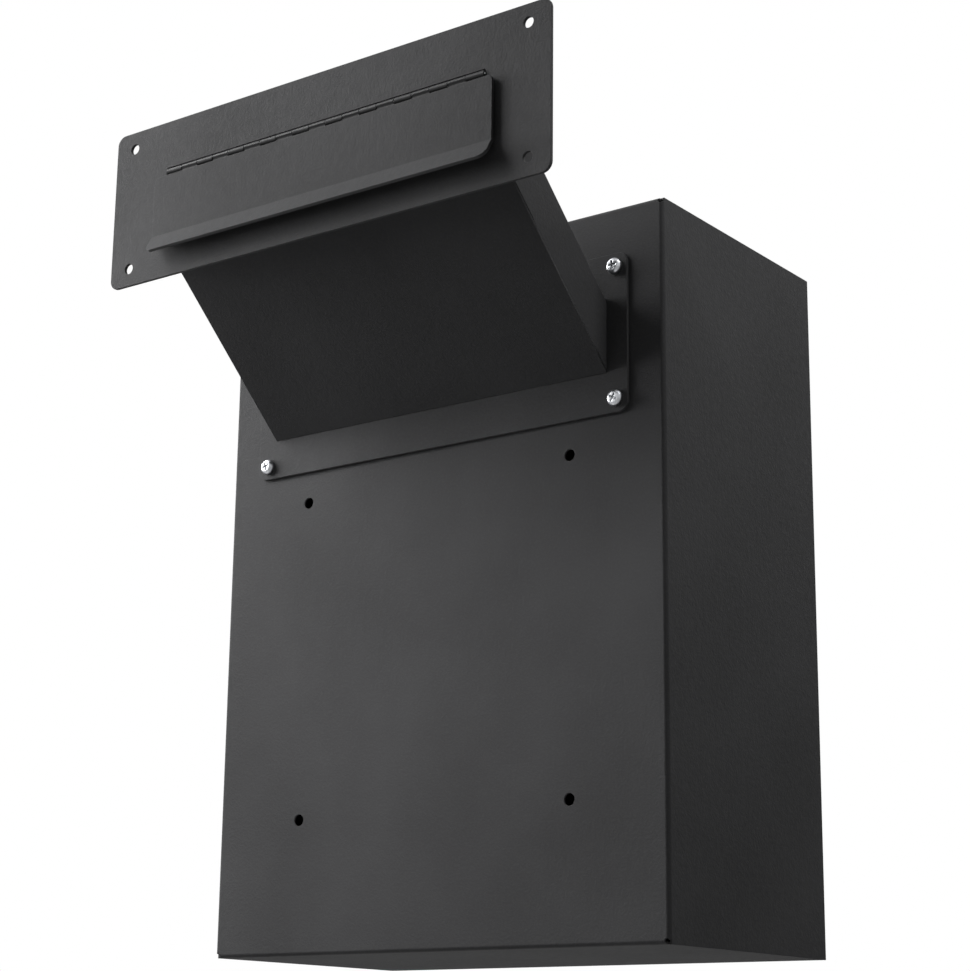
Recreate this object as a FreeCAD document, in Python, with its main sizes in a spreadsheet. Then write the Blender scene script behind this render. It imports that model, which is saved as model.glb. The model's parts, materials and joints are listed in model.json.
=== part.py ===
import FreeCAD, Part
import os
import re

import Sketcher

# A drop box that hangs on the inside of a wall, with a slanted chute that rises through the wall to
# a faceplate and flap on the outside. Millimetres. +X is to the right for someone who faces the
# wall's outside, +Y points into the room, +Z is up. The origin is the centre of the four wall bolts,
# on the face that lies against the wall.

SIZES = {
    # box
    "box_width": 325,
    "box_height": 421,
    "box_depth": 172.5,
    "box_sheet": 1.5,
    "bend_radius": 2.5,
    "relief_diameter": 3,
    "bolts_below_flange": 19.75,
    "bolt_spacing_across": 197,
    "bolt_spacing_up": 197,
    "bolt_hole_diameter": 7,
    # chute, fixed to the box by its flange
    "chute_angle": 42.8,
    "chute_width": 251,
    "chute_height": 33.2,
    "chute_sheet": 1.5,
    "chute_below_flange_centre": 1.1,
    "flange_below_top": 76.6,
    "flange_height": 95.6,
    "flange_margin": 13.9,
    "flange_sheet": 2,
    "flange_corner": 6,
    "flange_hole_inset": 8,
    "flange_hole_diameter": 5.5,
    # faceplate and the sleeve on its back
    "wall_gap": 113.2,
    "plate_height": 101.4,
    "plate_margin": 39.6,
    "plate_sheet": 2,
    "plate_corner": 6,
    "plate_above_chute": 1,
    "plate_hole_inset": 15.2,
    "plate_hole_drop": 11.2,
    "plate_hole_diameter": 6.5,
    "sleeve_sheet": 1.5,
    "sleeve_clearance": 0.4,
    "sleeve_to_box": 5,
    "sleeve_top_relief": 1.8,
    "slot_lip": 0.7,
    # continuous hinge, the same stock for the flap and the door
    "knuckle_pitch": 12.7,
    "knuckle_gap": 0.3,
    "knuckle_radius": 2.1,
    "pin_radius": 1,
    "pin_clearance": 0.05,
    "leaf_sheet": 1,
    "leaf_reach": 14,
    "leaf_clearance": 0.3,
    # flap
    "flap_pin_below_roof": 1.7,
    "flap_edge_clearance": 0.4,
    "flap_sheet": 2,
    "flap_overlap": 6.9,
    "flap_top_drop": 3.7,
    "flap_cover": 6.6,
    "flap_lip_length": 12.8,
    "flap_lip_angle": 31,
    "flap_bend_radius": 1.5,
    "flap_top_corner": 3.5,
    "flap_lip_corner": 5.5,
    # door, its frame and its hinge
    "frame_reach": 15,
    "door_gap": 1.5,
    "door_depth": 12,
    "door_sheet": 1.5,
    "door_to_frame": 1.5,
    "door_corner": 2,
    "door_hinge_stand_off": 0.4,
    # cam lock
    "lock_inset": 27,
    "housing_radius": 9,
    "housing_flat": 16,
    "housing_hole_clearance": 0.2,
    "lock_flange_radius": 12,
    "lock_flange_height": 2.4,
    "lock_nut_across": 22,
    "lock_nut_height": 3,
    "plug_radius": 6,
    "plug_clearance": 0.05,
    "keyway_width": 1.6,
    "keyway_height": 8,
    "keyway_depth": 7,
    "tail_across": 7,
    "tail_clearance": 0.05,
    "cam_sheet": 2,
    "cam_width": 14,
    "cam_reach": 22,
    "cam_behind_frame": 0.8,
    "cam_to_housing": 0.3,
    "cam_washer_radius": 6,
    "cam_washer_sheet": 1,
    "cam_screw_radius": 2,
    "cam_screw_grip": 8,
    "cam_screw_head_radius": 4.5,
    "cam_screw_head": 2.5,
    "cam_screw_slot_width": 1.1,
    "cam_screw_slot_depth": 1.25,
    "cam_thread_depth": 12,
    # screws of the flange
    "screw_radius": 2.5,
    "screw_head_radius": 4.9,
    "screw_head_height": 3.6,
    "screw_head_edge": 1,
    "screw_length": 12,
    "recess_length": 5.2,
    "recess_width": 1.1,
    "recess_depth": 1.9,
    "washer_radius": 5,
    "washer_sheet": 1,
    "nut_across": 8,
    "nut_height": 4,
    "thread_clearance": 0.05,
}

# Places and sizes that follow from those above, in the order in which they need each other.
PLACES = {
    "flange_above_bolts": "bolt_spacing_up / 2 + bolts_below_flange + flange_height / 2",
    "box_top": "flange_above_bolts + flange_below_top",
    "slope": "tan(chute_angle)",
    "along": "1 / cos(chute_angle)",
    # levels of the chute where it meets the flange, at a distance flange_sheet from the wall face
    "chute_rise": "chute_height * along",
    "chute_low": "flange_above_bolts - chute_below_flange_centre - chute_rise / 2",
    "chute_wall_rise": "chute_sheet * along",
    "sleeve_gap_rise": "(chute_sheet + sleeve_clearance) * along",
    "sleeve_wall_rise": "sleeve_sheet * along",
    "sleeve_width": "chute_width - 2 * chute_sheet - 2 * sleeve_clearance",
    "chute_end": "wall_gap - leaf_sheet - leaf_clearance",
    # faceplate
    "plate_width": "chute_width + 2 * plate_margin",
    "chute_low_at_plate": "chute_low + slope * (wall_gap - flange_sheet)",
    "sleeve_floor_at_plate": "chute_low_at_plate + sleeve_gap_rise + sleeve_wall_rise",
    "sleeve_roof_at_plate": "chute_low_at_plate + chute_rise - sleeve_gap_rise",
    "plate_centre": "chute_low_at_plate + chute_rise / 2 + plate_above_chute",
    # flap hinge: the fixed leaf lies on the faceplate's back
    "flap_knuckles": "2 * floor(((sleeve_width - 2 * sleeve_sheet) / knuckle_pitch - 1) / 2) + 1",
    "flap_hinge_length": "flap_knuckles * knuckle_pitch",
    "flap_pin_out": "wall_gap - leaf_sheet + knuckle_radius",
    "flap_pin_up": "sleeve_roof_at_plate - flap_pin_below_roof",
    "slot_width": "flap_hinge_length + 2 * flap_edge_clearance",
    "slot_top": "flap_pin_up - plate_centre + knuckle_radius + flap_edge_clearance",
    "slot_bottom": "sleeve_floor_at_plate + slot_lip - plate_centre",
    "flap_width": "slot_width + 2 * flap_overlap",
    "flap_bend_drop": "flap_pin_up - plate_centre - slot_bottom + flap_cover",
    # flange
    "flange_width": "chute_width + 2 * flange_margin",
    "flange_hole_across": "flange_width - 2 * flange_hole_inset",
    "flange_hole_up": "flange_height - 2 * flange_hole_inset",
    "mouth_low": "chute_low - slope * flange_sheet + chute_wall_rise - flange_above_bolts",
    "mouth_high": "chute_low + chute_rise - chute_wall_rise - flange_above_bolts",
    "mouth_width": "chute_width - 2 * chute_sheet",
    # box and door
    "box_centre": "box_top - box_height / 2",
    "inner_width": "box_width - 2 * box_sheet",
    "inner_height": "box_height - 2 * box_sheet",
    "frame_front": "box_depth - door_depth - door_to_frame",
    "door_hinge_x": "knuckle_radius - inner_width / 2",
    "door_hinge_y": "box_depth + knuckle_radius + door_hinge_stand_off",
    "door_left": "door_hinge_x + knuckle_radius",
    "door_right": "inner_width / 2 - door_gap",
    "door_height": "inner_height - 2 * door_gap",
    "door_knuckles": "2 * floor((door_height / knuckle_pitch - 1) / 2) + 1",
    "door_hinge_length": "door_knuckles * knuckle_pitch",
    # lock, measured from the door's front face
    "lock_x": "door_right - lock_inset",
    "cam_front": "box_depth - frame_front + box_sheet + cam_behind_frame",
    "housing_length": "cam_front - cam_to_housing",
    "cam_back": "cam_front + cam_sheet",
}


def expression(text):
    """An expression written with the sizes' own names, as the document reads it."""

    def full(word):
        name = word.group()
        if name in SIZES:
            return f"Sizes.{name}"
        if name in PLACES:
            return f"Places.{name}"
        return name

    return re.sub(r"[a-z][a-z_]+", full, str(text))


def fill_sheet(name, rows):
    """A sheet with a name in column A and its value or formula, under that alias, in column B."""
    sheet = doc.addObject("Spreadsheet::Sheet", name)
    for row, (alias, content) in enumerate(rows, start=1):
        sheet.set(f"A{row}", alias)
        sheet.set(f"B{row}", content)
        sheet.setAlias(f"B{row}", alias)
    return sheet


doc = FreeCAD.newDocument("DropBox")
sizes = fill_sheet("Sizes", [(name, str(number)) for name, number in SIZES.items()])
fill_sheet("Places", [(name, "=" + expression(text)) for name, text in PLACES.items()])
doc.recompute()

nodes = []


def value(text):
    """The number that an expression has now."""
    result = sizes.evalExpression(expression(text))
    return float(getattr(result, "Value", result))


def keep(piece, label):
    """Name a finished piece and list it as one of the part's nodes."""
    piece.Label = label
    nodes.append(piece)
    return piece


def put(piece, x="0", y="0", z="0", rotation=None):
    """Bind a piece's place to the sheet."""
    if rotation:
        piece.Placement.Rotation = rotation
    for axis, text in (("x", x), ("y", y), ("z", z)):
        piece.setExpression(f"Placement.Base.{axis}", expression(text))


# Sketches and the features made from them.


def sketch_on(body, role, lift="0"):
    """An empty sketch on one of the body's origin planes, lifted along that plane's normal."""
    sketch = body.newObject("Sketcher::SketchObject", "Sketch")
    plane = next(item for item in body.Origin.OriginFeatures if item.Role == role)
    sketch.AttachmentSupport = [(plane, "")]
    sketch.MapMode = "FlatFace"
    sketch.setExpression("AttachmentOffset.Base.z", expression(lift))
    return sketch


def tie_point(sketch, geometry, point, x, y):
    """Hold a point of the sketch at x, y from its origin."""
    for kind, text in (("DistanceX", x), ("DistanceY", y)):
        constraint = Sketcher.Constraint(kind, -1, 1, geometry, point, value(text))
        index = sketch.addConstraint(constraint)
        sketch.setExpression(f"Constraints[{index}]", expression(text))


def draw_outline(sketch, corners):
    """A closed outline of straight lines through corners, each an (x, y) pair of expressions."""
    first = sketch.GeometryCount
    points = [FreeCAD.Vector(value(x), value(y), 0) for x, y in corners]
    for start, end in zip(points, points[1:] + points[:1]):
        sketch.addGeometry(Part.LineSegment(start, end))
    for number, (x, y) in enumerate(corners):
        line = first + number
        following = first + (number + 1) % len(corners)
        sketch.addConstraint(Sketcher.Constraint("Coincident", line, 2, following, 1))
        tie_point(sketch, line, 1, x, y)


def draw_rectangle(sketch, width, height, x="0", y="0"):
    """A rectangle about the point x, y."""
    left, right = f"{x} - ({width}) / 2", f"{x} + ({width}) / 2"
    low, high = f"{y} - ({height}) / 2", f"{y} + ({height}) / 2"
    draw_outline(sketch, [(left, low), (right, low), (right, high), (left, high)])


def draw_circle(sketch, diameter, x="0", y="0"):
    centre = FreeCAD.Vector(value(x), value(y), 0)
    circle = Part.Circle(centre, FreeCAD.Vector(0, 0, 1), value(diameter) / 2)
    number = sketch.addGeometry(circle)
    tie_point(sketch, number, 3, x, y)
    index = sketch.addConstraint(Sketcher.Constraint("Diameter", number, value(diameter)))
    sketch.setExpression(f"Constraints[{index}]", expression(diameter))


def draw_hexagon(sketch, across):
    """A hexagon about the origin, with two corners on the sketch's own horizontal axis."""
    half = f"({across}) / 2"
    corner = f"({across}) / 2 / cos(30)"
    top = f"({across}) / 2 * tan(30)"
    draw_outline(
        sketch,
        [
            (corner, "0"),
            (top, half),
            (f"-({top})", half),
            (f"-({corner})", "0"),
            (f"-({top})", f"-({half})"),
            (top, f"-({half})"),
        ],
    )


def draw_four_circles(sketch, diameter, across, up, y="0"):
    """Four equal circles at the corners of a rectangle."""
    for side in ("-", ""):
        for level in ("-", "+"):
            draw_circle(sketch, diameter, f"{side}({across}) / 2", f"{y} {level} ({up}) / 2")


def add_feature(body, kind, sketch, length, other_way=False, both_ways=False):
    """A Pad or Pocket. The body's volume has to change, and in the right direction."""
    doc.recompute()
    before = body.Shape.Volume if body.Tip else 0
    feature = body.newObject(f"PartDesign::{kind}", kind)
    feature.Profile = sketch
    feature.Reversed = other_way
    if both_ways:
        feature.SideType = "Symmetric"
    feature.setExpression("Length", expression(length))
    doc.recompute()
    change = body.Shape.Volume - before
    if (change if kind == "Pad" else -change) <= 0:
        raise ValueError(f"{kind} of {body.Label} changes nothing")
    return feature


def pad(body, sketch, length, **ways):
    return add_feature(body, "Pad", sketch, length, **ways)


def pocket(body, sketch, length, **ways):
    return add_feature(body, "Pocket", sketch, length, **ways)


def round_edges(body, radius, wanted):
    """Fillet the edges of the body's last feature for which wanted(edge) holds."""
    doc.recompute()
    base = body.Tip
    names = [f"Edge{n}" for n, edge in enumerate(base.Shape.Edges, start=1) if wanted(edge)]
    if not names:
        raise ValueError(f"no edge of {body.Label} to round")
    fillet = body.newObject("PartDesign::Fillet", "Fillet")
    fillet.Base = (base, names)
    fillet.setExpression("Radius", expression(radius))
    doc.recompute()
    return fillet


def spans(edge, axis):
    """The edge's lowest and highest coordinate along X, Y or Z."""
    box = edge.BoundBox
    return getattr(box, f"{axis}Min"), getattr(box, f"{axis}Max")


def lies_at(edge, axis, *levels):
    """Whether the edge lies wholly at one of some levels along an axis."""
    low, high = spans(edge, axis)
    return any(max(abs(low - level), abs(high - level)) < 0.01 for level in levels)


def runs_along(edge, axis):
    """Whether the edge is a straight line along an axis."""
    others = [other for other in "XYZ" if other != axis]
    return all(spans(edge, other)[1] - spans(edge, other)[0] < 0.01 for other in others)


def new_body(label):
    return keep(doc.addObject("PartDesign::Body", label), label)


# Box: one sheet folded into the wall face, top, bottom and sides, open towards the room.


def make_box_body():
    body = new_body("box_body")
    outline = sketch_on(body, "XZ_Plane")
    draw_rectangle(outline, "box_width", "box_height", y="box_centre")
    pad(body, outline, "box_depth", other_way=True)
    round_edges(body, "bend_radius", lambda edge: lies_at(edge, "Y", 0))

    room_side = sketch_on(body, "XZ_Plane", "-box_depth")
    draw_rectangle(room_side, "inner_width", "inner_height", y="box_centre")
    pocket(body, room_side, "box_depth - box_sheet", other_way=True)
    sheet = value("box_sheet")
    round_edges(body, "bend_radius - box_sheet", lambda edge: lies_at(edge, "Y", sheet))

    openings = sketch_on(body, "XZ_Plane")
    low, high = "flange_above_bolts + mouth_low", "flange_above_bolts + mouth_high"
    left, right = "-chute_width / 2", "chute_width / 2"
    draw_outline(openings, [(left, low), (right, low), (right, high), (left, high)])
    draw_four_circles(openings, "bolt_hole_diameter", "bolt_spacing_across", "bolt_spacing_up")
    draw_four_circles(
        openings, "flange_hole_diameter", "flange_hole_across", "flange_hole_up", "flange_above_bolts"
    )
    pocket(body, openings, "2 * box_sheet")

    # the sheet is notched at each corner of the wall face so that it folds
    reliefs = sketch_on(body, "XZ_Plane")
    across, up = "box_width - bend_radius", "box_height - bend_radius"
    draw_four_circles(reliefs, "relief_diameter", across, up, "box_centre")
    pocket(body, reliefs, "bend_radius")


# Chute: a hood, which is its top and sides, a floor plate under it, and the flange that holds both.


def chute_outline(low, high, near, far):
    """A strip of the chute seen from the side, between two levels above its underside. near and far
    are distances from the wall face."""

    def point(out, level):
        return f"-({out})", f"chute_low + slope * ({out} - flange_sheet) + {level}"

    return [point(near, low), point(far, low), point(far, high), point(near, high)]


def pad_strip(body, strip, width):
    side = sketch_on(body, "YZ_Plane")
    draw_outline(side, strip)
    return pad(body, side, width, both_ways=True)


def hollow_strip(body, strip, width):
    side = sketch_on(body, "YZ_Plane")
    draw_outline(side, strip)
    return pocket(body, side, width, both_ways=True)


def make_chute_floor():
    body = new_body("chute_floor")
    pad_strip(body, chute_outline("0", "chute_wall_rise", "flange_sheet", "chute_end"), "chute_width")


def make_chute_hood():
    body = new_body("chute_hood")
    outer = chute_outline("chute_wall_rise", "chute_rise", "flange_sheet", "chute_end")
    pad_strip(body, outer, "chute_width")
    half = value("chute_width / 2")
    top = value("chute_low + chute_rise")
    steep = value("slope")
    sheet = value("flange_sheet")

    def top_bend(edge):
        middle = edge.CenterOfMass
        level = top + steep * (-middle.y - sheet)
        return lies_at(edge, "X", -half, half) and abs(middle.z - level) < 0.01

    round_edges(body, "bend_radius", top_bend)
    inner = chute_outline("0", "chute_rise - chute_wall_rise", "0", "chute_end + flange_sheet")
    hollow_strip(body, inner, "mouth_width")


def make_chute_flange():
    body = new_body("chute_flange")
    put(body, z="flange_above_bolts")
    outline = sketch_on(body, "XZ_Plane")
    draw_rectangle(outline, "flange_width", "flange_height")
    pad(body, outline, "flange_sheet")
    round_edges(body, "flange_corner", lambda edge: runs_along(edge, "Y"))
    openings = sketch_on(body, "XZ_Plane")
    left, right = "-mouth_width / 2", "mouth_width / 2"
    draw_outline(
        openings,
        [(left, "mouth_low"), (right, "mouth_low"), (right, "mouth_high"), (left, "mouth_high")],
    )
    draw_four_circles(openings, "flange_hole_diameter", "flange_hole_across", "flange_hole_up")
    pocket(body, openings, "flange_sheet", other_way=True)


# Fasteners of the flange: one of each is made at a corner of the pattern and mirrored to the others.


def four_of(label, one):
    """The piece and its mirror images across the pattern's two middle planes, as one node."""
    across = mirrored(one, (1, 0, 0))
    pieces = [one, across, mirrored(one, (0, 0, 1)), mirrored(across, (0, 0, 1))]
    group = doc.addObject("Part::Compound", label)
    group.Links = pieces
    put(group, z="flange_above_bolts")
    return keep(group, label)


def mirrored(piece, normal):
    mirror = doc.addObject("Part::Mirroring", "Mirror")
    mirror.Source = piece
    mirror.Normal = FreeCAD.Vector(*normal)
    return mirror


def corner_body(name, y):
    """A body at the upper right screw of the flange, at a distance y into the room."""
    body = doc.addObject("PartDesign::Body", name)
    put(body, x="flange_hole_across / 2", y=y, z="flange_hole_up / 2")
    return body


def make_flange_screws():
    body = corner_body("flange_screw", "-flange_sheet")
    head = sketch_on(body, "XZ_Plane")
    draw_circle(head, "2 * screw_head_radius")
    pad(body, head, "screw_head_height")
    top = -value("screw_head_height")
    round_edges(body, "screw_head_height - screw_head_edge", lambda edge: lies_at(edge, "Y", top))
    shank = sketch_on(body, "XZ_Plane")
    draw_circle(shank, "2 * screw_radius")
    pad(body, shank, "screw_length", other_way=True)
    for width, height in (("recess_length", "recess_width"), ("recess_width", "recess_length")):
        slot = sketch_on(body, "XZ_Plane", "screw_head_height")
        draw_rectangle(slot, width, height)
        pocket(body, slot, "recess_depth")
    four_of("flange_screws", body)


def make_flange_washers():
    body = corner_body("flange_washer", "box_sheet")
    ring = sketch_on(body, "XZ_Plane")
    draw_circle(ring, "2 * washer_radius")
    draw_circle(ring, "2 * (screw_radius + thread_clearance)")
    pad(body, ring, "washer_sheet", other_way=True)
    four_of("flange_washers", body)


def make_flange_nuts():
    body = corner_body("flange_nut", "box_sheet + washer_sheet")
    ring = sketch_on(body, "XZ_Plane")
    draw_hexagon(ring, "nut_across")
    draw_circle(ring, "2 * (screw_radius + thread_clearance)")
    pad(body, ring, "nut_height", other_way=True)
    four_of("flange_nuts", body)


# Faceplate on the outside of the wall, and the sleeve on its back that slides in the chute.


def make_faceplate():
    body = new_body("faceplate")
    put(body, y="-wall_gap", z="plate_centre")
    outline = sketch_on(body, "XZ_Plane")
    draw_rectangle(outline, "plate_width", "plate_height")
    pad(body, outline, "plate_sheet")
    round_edges(body, "plate_corner", lambda edge: runs_along(edge, "Y"))
    openings = sketch_on(body, "XZ_Plane")
    left, right = "-slot_width / 2", "slot_width / 2"
    draw_outline(
        openings,
        [(left, "slot_bottom"), (right, "slot_bottom"), (right, "slot_top"), (left, "slot_top")],
    )
    across = "plate_width - 2 * plate_hole_inset"
    up = "plate_height - 2 * plate_hole_drop"
    draw_four_circles(openings, "plate_hole_diameter", across, up)
    pocket(body, openings, "plate_sheet", other_way=True)


def make_chute_sleeve():
    body = new_body("chute_sleeve")
    low, high = "sleeve_gap_rise", "chute_rise - sleeve_gap_rise"
    pad_strip(body, chute_outline(low, high, "sleeve_to_box", "wall_gap"), "sleeve_width")
    low, high = f"{low} + sleeve_wall_rise", f"{high} - sleeve_wall_rise"
    inner = chute_outline(low, high, "0", "wall_gap + plate_sheet")
    hollow_strip(body, inner, "sleeve_width - 2 * sleeve_sheet")

    # the top is cut back over the hinge's knuckles
    relief = sketch_on(body, "XZ_Plane", "wall_gap")
    height = "2 * (knuckle_radius + sleeve_top_relief)"
    draw_rectangle(relief, "slot_width", height, y="flap_pin_up")
    pocket(body, relief, "sleeve_top_relief")


# Continuous hinges. A leaf is made about its pin along X, hanging down from it, with its outer face
# level with the front of the knuckles.


def make_hinge_leaf(label, knuckles, first):
    """A leaf with every second knuckle of the hinge, starting from the one numbered first."""
    body = new_body(label)
    neck = "knuckle_radius + leaf_clearance"
    inner, outer = "leaf_sheet - knuckle_radius", "-knuckle_radius"

    plate = sketch_on(body, "YZ_Plane")
    draw_outline(
        plate,
        [(outer, "-leaf_reach"), (inner, "-leaf_reach"), (inner, f"-({neck})"), (outer, f"-({neck})")],
    )
    pad(body, plate, f"{knuckles} * knuckle_pitch", both_ways=True)

    start = f"({first} - {knuckles} / 2) * knuckle_pitch + knuckle_gap / 2"
    length = "knuckle_pitch - knuckle_gap"
    strap = sketch_on(body, "YZ_Plane", start)
    root = f"-({neck}) - leaf_sheet"
    draw_outline(strap, [(outer, root), (inner, root), (inner, "0"), (outer, "0")])
    curl = sketch_on(body, "YZ_Plane", start)
    draw_circle(curl, "2 * knuckle_radius")
    bore = sketch_on(body, "YZ_Plane", start)
    draw_circle(bore, "2 * (pin_radius + pin_clearance)")
    features = [
        pad(body, strap, length),
        pad(body, curl, length),
        pocket(body, bore, length, other_way=True),
    ]
    pattern = body.newObject("PartDesign::LinearPattern", "Knuckles")
    pattern.Originals = features
    axis = next(item for item in body.Origin.OriginFeatures if item.Role == "X_Axis")
    pattern.Direction = (axis, [""])
    pattern.Mode = "Spacing"
    pattern.setExpression("Offset", expression("2 * knuckle_pitch"))
    pattern.setExpression("Occurrences", expression(f"({knuckles} + 1) / 2 - {first}"))
    body.Tip = pattern
    return body


def make_pin(label, length):
    pin = keep(doc.addObject("Part::Cylinder", label), label)
    pin.setExpression("Radius", expression("pin_radius"))
    pin.setExpression("Height", expression(length))
    return pin


def make_flap_hinge():
    fixed = make_hinge_leaf("flap_hinge_fixed_leaf", "flap_knuckles", 0)
    upside_down = FreeCAD.Rotation(FreeCAD.Vector(1, 0, 0), 180)
    put(fixed, y="-flap_pin_out", z="flap_pin_up", rotation=upside_down)
    moving = make_hinge_leaf("flap_hinge_moving_leaf", "flap_knuckles", 1)
    put(moving, y="-flap_pin_out", z="flap_pin_up")
    pin = make_pin("flap_hinge_pin", "flap_hinge_length")
    lying = FreeCAD.Rotation(FreeCAD.Vector(0, 1, 0), 90)
    put(pin, "-flap_hinge_length / 2", "-flap_pin_out", "flap_pin_up", lying)


def make_door_hinge():
    # along the pin, the room side of the pin, and the side of the leaf's outer face, as X, Z and -Y
    up, right, room = FreeCAD.Vector(0, 0, 1), FreeCAD.Vector(1, 0, 0), FreeCAD.Vector(0, 1, 0)
    on_frame = FreeCAD.Rotation(up, right, room, "XYZ")
    on_door = FreeCAD.Rotation(-up, -right, room, "XYZ")
    place = ("door_hinge_x", "door_hinge_y", "box_centre")
    frame_leaf = make_hinge_leaf("door_hinge_frame_leaf", "door_knuckles", 0)
    put(frame_leaf, *place, rotation=on_frame)
    door_leaf = make_hinge_leaf("door_hinge_door_leaf", "door_knuckles", 1)
    put(door_leaf, *place, rotation=on_door)
    pin = make_pin("door_hinge_pin", "door_hinge_length")
    put(pin, "door_hinge_x", "door_hinge_y", "box_centre - door_hinge_length / 2")


# Flap: a sheet with its lower edge bent outward as a pull, welded to the front of the moving leaf.


def make_flap():
    body = new_body("flap")
    put(body, y="-flap_pin_out", z="flap_pin_up")
    side = sketch_on(body, "YZ_Plane")
    front, back = "-knuckle_radius - flap_sheet", "-knuckle_radius"
    lip_out = "flap_lip_length * sin(flap_lip_angle)"
    lip_down = "flap_lip_length * cos(flap_lip_angle)"
    mitre = "flap_sheet * tan(flap_lip_angle / 2)"
    draw_outline(
        side,
        [
            (front, "-flap_top_drop"),
            (front, "-flap_bend_drop"),
            (f"{front} - {lip_out}", f"-flap_bend_drop - {lip_down}"),
            (
                f"{front} - {lip_out} + flap_sheet * cos(flap_lip_angle)",
                f"-flap_bend_drop - {lip_down} - flap_sheet * sin(flap_lip_angle)",
            ),
            (back, f"-flap_bend_drop - {mitre}"),
            (back, "-flap_top_drop"),
        ],
    )
    pad(body, side, "flap_width", both_ways=True)
    half = value("flap_width / 2")
    top = -value("flap_top_drop")
    bend_front = -value("flap_bend_drop")
    bend_back = -value(f"flap_bend_drop + {mitre}")
    lip_end = -value(f"flap_bend_drop + {lip_down}")

    def lip_corner(edge):
        return lies_at(edge, "X", -half, half) and spans(edge, "Z")[1] < lip_end + 0.01

    round_edges(body, "flap_lip_corner", lip_corner)
    round_edges(body, "flap_top_corner", lambda edge: runs_along(edge, "Y") and lies_at(edge, "Z", top))
    round_edges(body, "flap_bend_radius", lambda edge: lies_at(edge, "Z", bend_front))
    round_edges(body, "flap_bend_radius + flap_sheet", lambda edge: lies_at(edge, "Z", bend_back))


# Door on the room side: a ring of sheet in the box that it closes against, and a folded pan.


def make_door_frame():
    body = new_body("door_frame")
    ring = sketch_on(body, "XZ_Plane", "-frame_front")
    draw_rectangle(ring, "inner_width", "inner_height", y="box_centre")
    width, height = "inner_width - 2 * frame_reach", "inner_height - 2 * frame_reach"
    draw_rectangle(ring, width, height, y="box_centre")
    pad(body, ring, "box_sheet")


def make_door_panel():
    body = new_body("door_panel")
    width, middle = "door_right - door_left", "(door_right + door_left) / 2"
    outline = sketch_on(body, "XZ_Plane", "-box_depth")
    draw_rectangle(outline, width, "door_height", middle, "box_centre")
    pad(body, outline, "door_depth")
    front = value("box_depth")
    round_edges(body, "door_corner", lambda edge: lies_at(edge, "Y", front))
    back = sketch_on(body, "XZ_Plane", "door_depth - box_depth")
    draw_rectangle(
        back, f"{width} - 2 * door_sheet", "door_height - 2 * door_sheet", middle, "box_centre"
    )
    pocket(body, back, "door_depth - door_sheet", other_way=False)
    lock = sketch_on(body, "XZ_Plane", "-box_depth")
    draw_circle(lock, "2 * (housing_radius + housing_hole_clearance)", "lock_x", "box_centre")
    pocket(body, lock, "2 * door_sheet", other_way=True)


# Cam lock: all its pieces are made about the plug's axis, from the door's front face at y = 0.


def lock_body(label):
    body = new_body(label)
    put(body, "lock_x", "box_depth", "box_centre")
    return body


def make_lock_housing():
    body = lock_body("lock_housing")
    barrel = sketch_on(body, "XZ_Plane")
    draw_circle(barrel, "2 * housing_radius")
    pad(body, barrel, "housing_length")
    flats = sketch_on(body, "XZ_Plane")
    side = "housing_radius - housing_flat / 2"
    for sign in ("-", ""):
        middle = f"{sign}(housing_radius + housing_flat / 2) / 2"
        draw_rectangle(flats, side, "2 * housing_radius", middle)
    pocket(body, flats, "housing_length", other_way=True)
    flange = sketch_on(body, "XZ_Plane")
    draw_circle(flange, "2 * lock_flange_radius")
    pad(body, flange, "lock_flange_height", other_way=True)
    rim = value("lock_flange_height")
    round_edges(body, "lock_flange_height / 2", lambda edge: lies_at(edge, "Y", rim))
    bore = sketch_on(body, "XZ_Plane", "-lock_flange_height")
    draw_circle(bore, "2 * (plug_radius + plug_clearance)")
    pocket(body, bore, "housing_length + lock_flange_height", other_way=True)


def make_lock_nut():
    body = lock_body("lock_nut")
    ring = sketch_on(body, "XZ_Plane", "door_sheet")
    draw_hexagon(ring, "lock_nut_across")
    draw_circle(ring, "2 * (housing_radius + thread_clearance)")
    pad(body, ring, "lock_nut_height")


def make_lock_plug():
    body = lock_body("lock_plug")
    plug = sketch_on(body, "XZ_Plane", "-lock_flange_height")
    draw_circle(plug, "2 * plug_radius")
    pad(body, plug, "lock_flange_height + cam_front")
    tail = sketch_on(body, "XZ_Plane", "cam_front")
    draw_rectangle(tail, "tail_across", "tail_across")
    pad(body, tail, "cam_sheet")
    keyway = sketch_on(body, "XZ_Plane", "-lock_flange_height")
    draw_rectangle(keyway, "keyway_width", "keyway_height")
    pocket(body, keyway, "keyway_depth", other_way=True)
    thread = sketch_on(body, "XZ_Plane", "cam_back")
    draw_circle(thread, "2 * (cam_screw_radius + thread_clearance)")
    pocket(body, thread, "cam_thread_depth")


def make_lock_cam():
    body = lock_body("lock_cam")
    arm = sketch_on(body, "XZ_Plane", "cam_front")
    middle = "(cam_width / 2 - cam_reach) / 2"
    draw_rectangle(arm, "cam_width", "cam_reach + cam_width / 2", y=middle)
    pad(body, arm, "cam_sheet")
    round_edges(body, "cam_width / 4", lambda edge: runs_along(edge, "Y"))
    hole = sketch_on(body, "XZ_Plane", "cam_front")
    draw_rectangle(hole, "tail_across + 2 * tail_clearance", "tail_across + 2 * tail_clearance")
    pocket(body, hole, "cam_sheet", other_way=True)


def make_cam_washer():
    body = lock_body("cam_washer")
    ring = sketch_on(body, "XZ_Plane", "cam_back")
    draw_circle(ring, "2 * cam_washer_radius")
    draw_circle(ring, "2 * (cam_screw_radius + thread_clearance)")
    pad(body, ring, "cam_washer_sheet")


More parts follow.
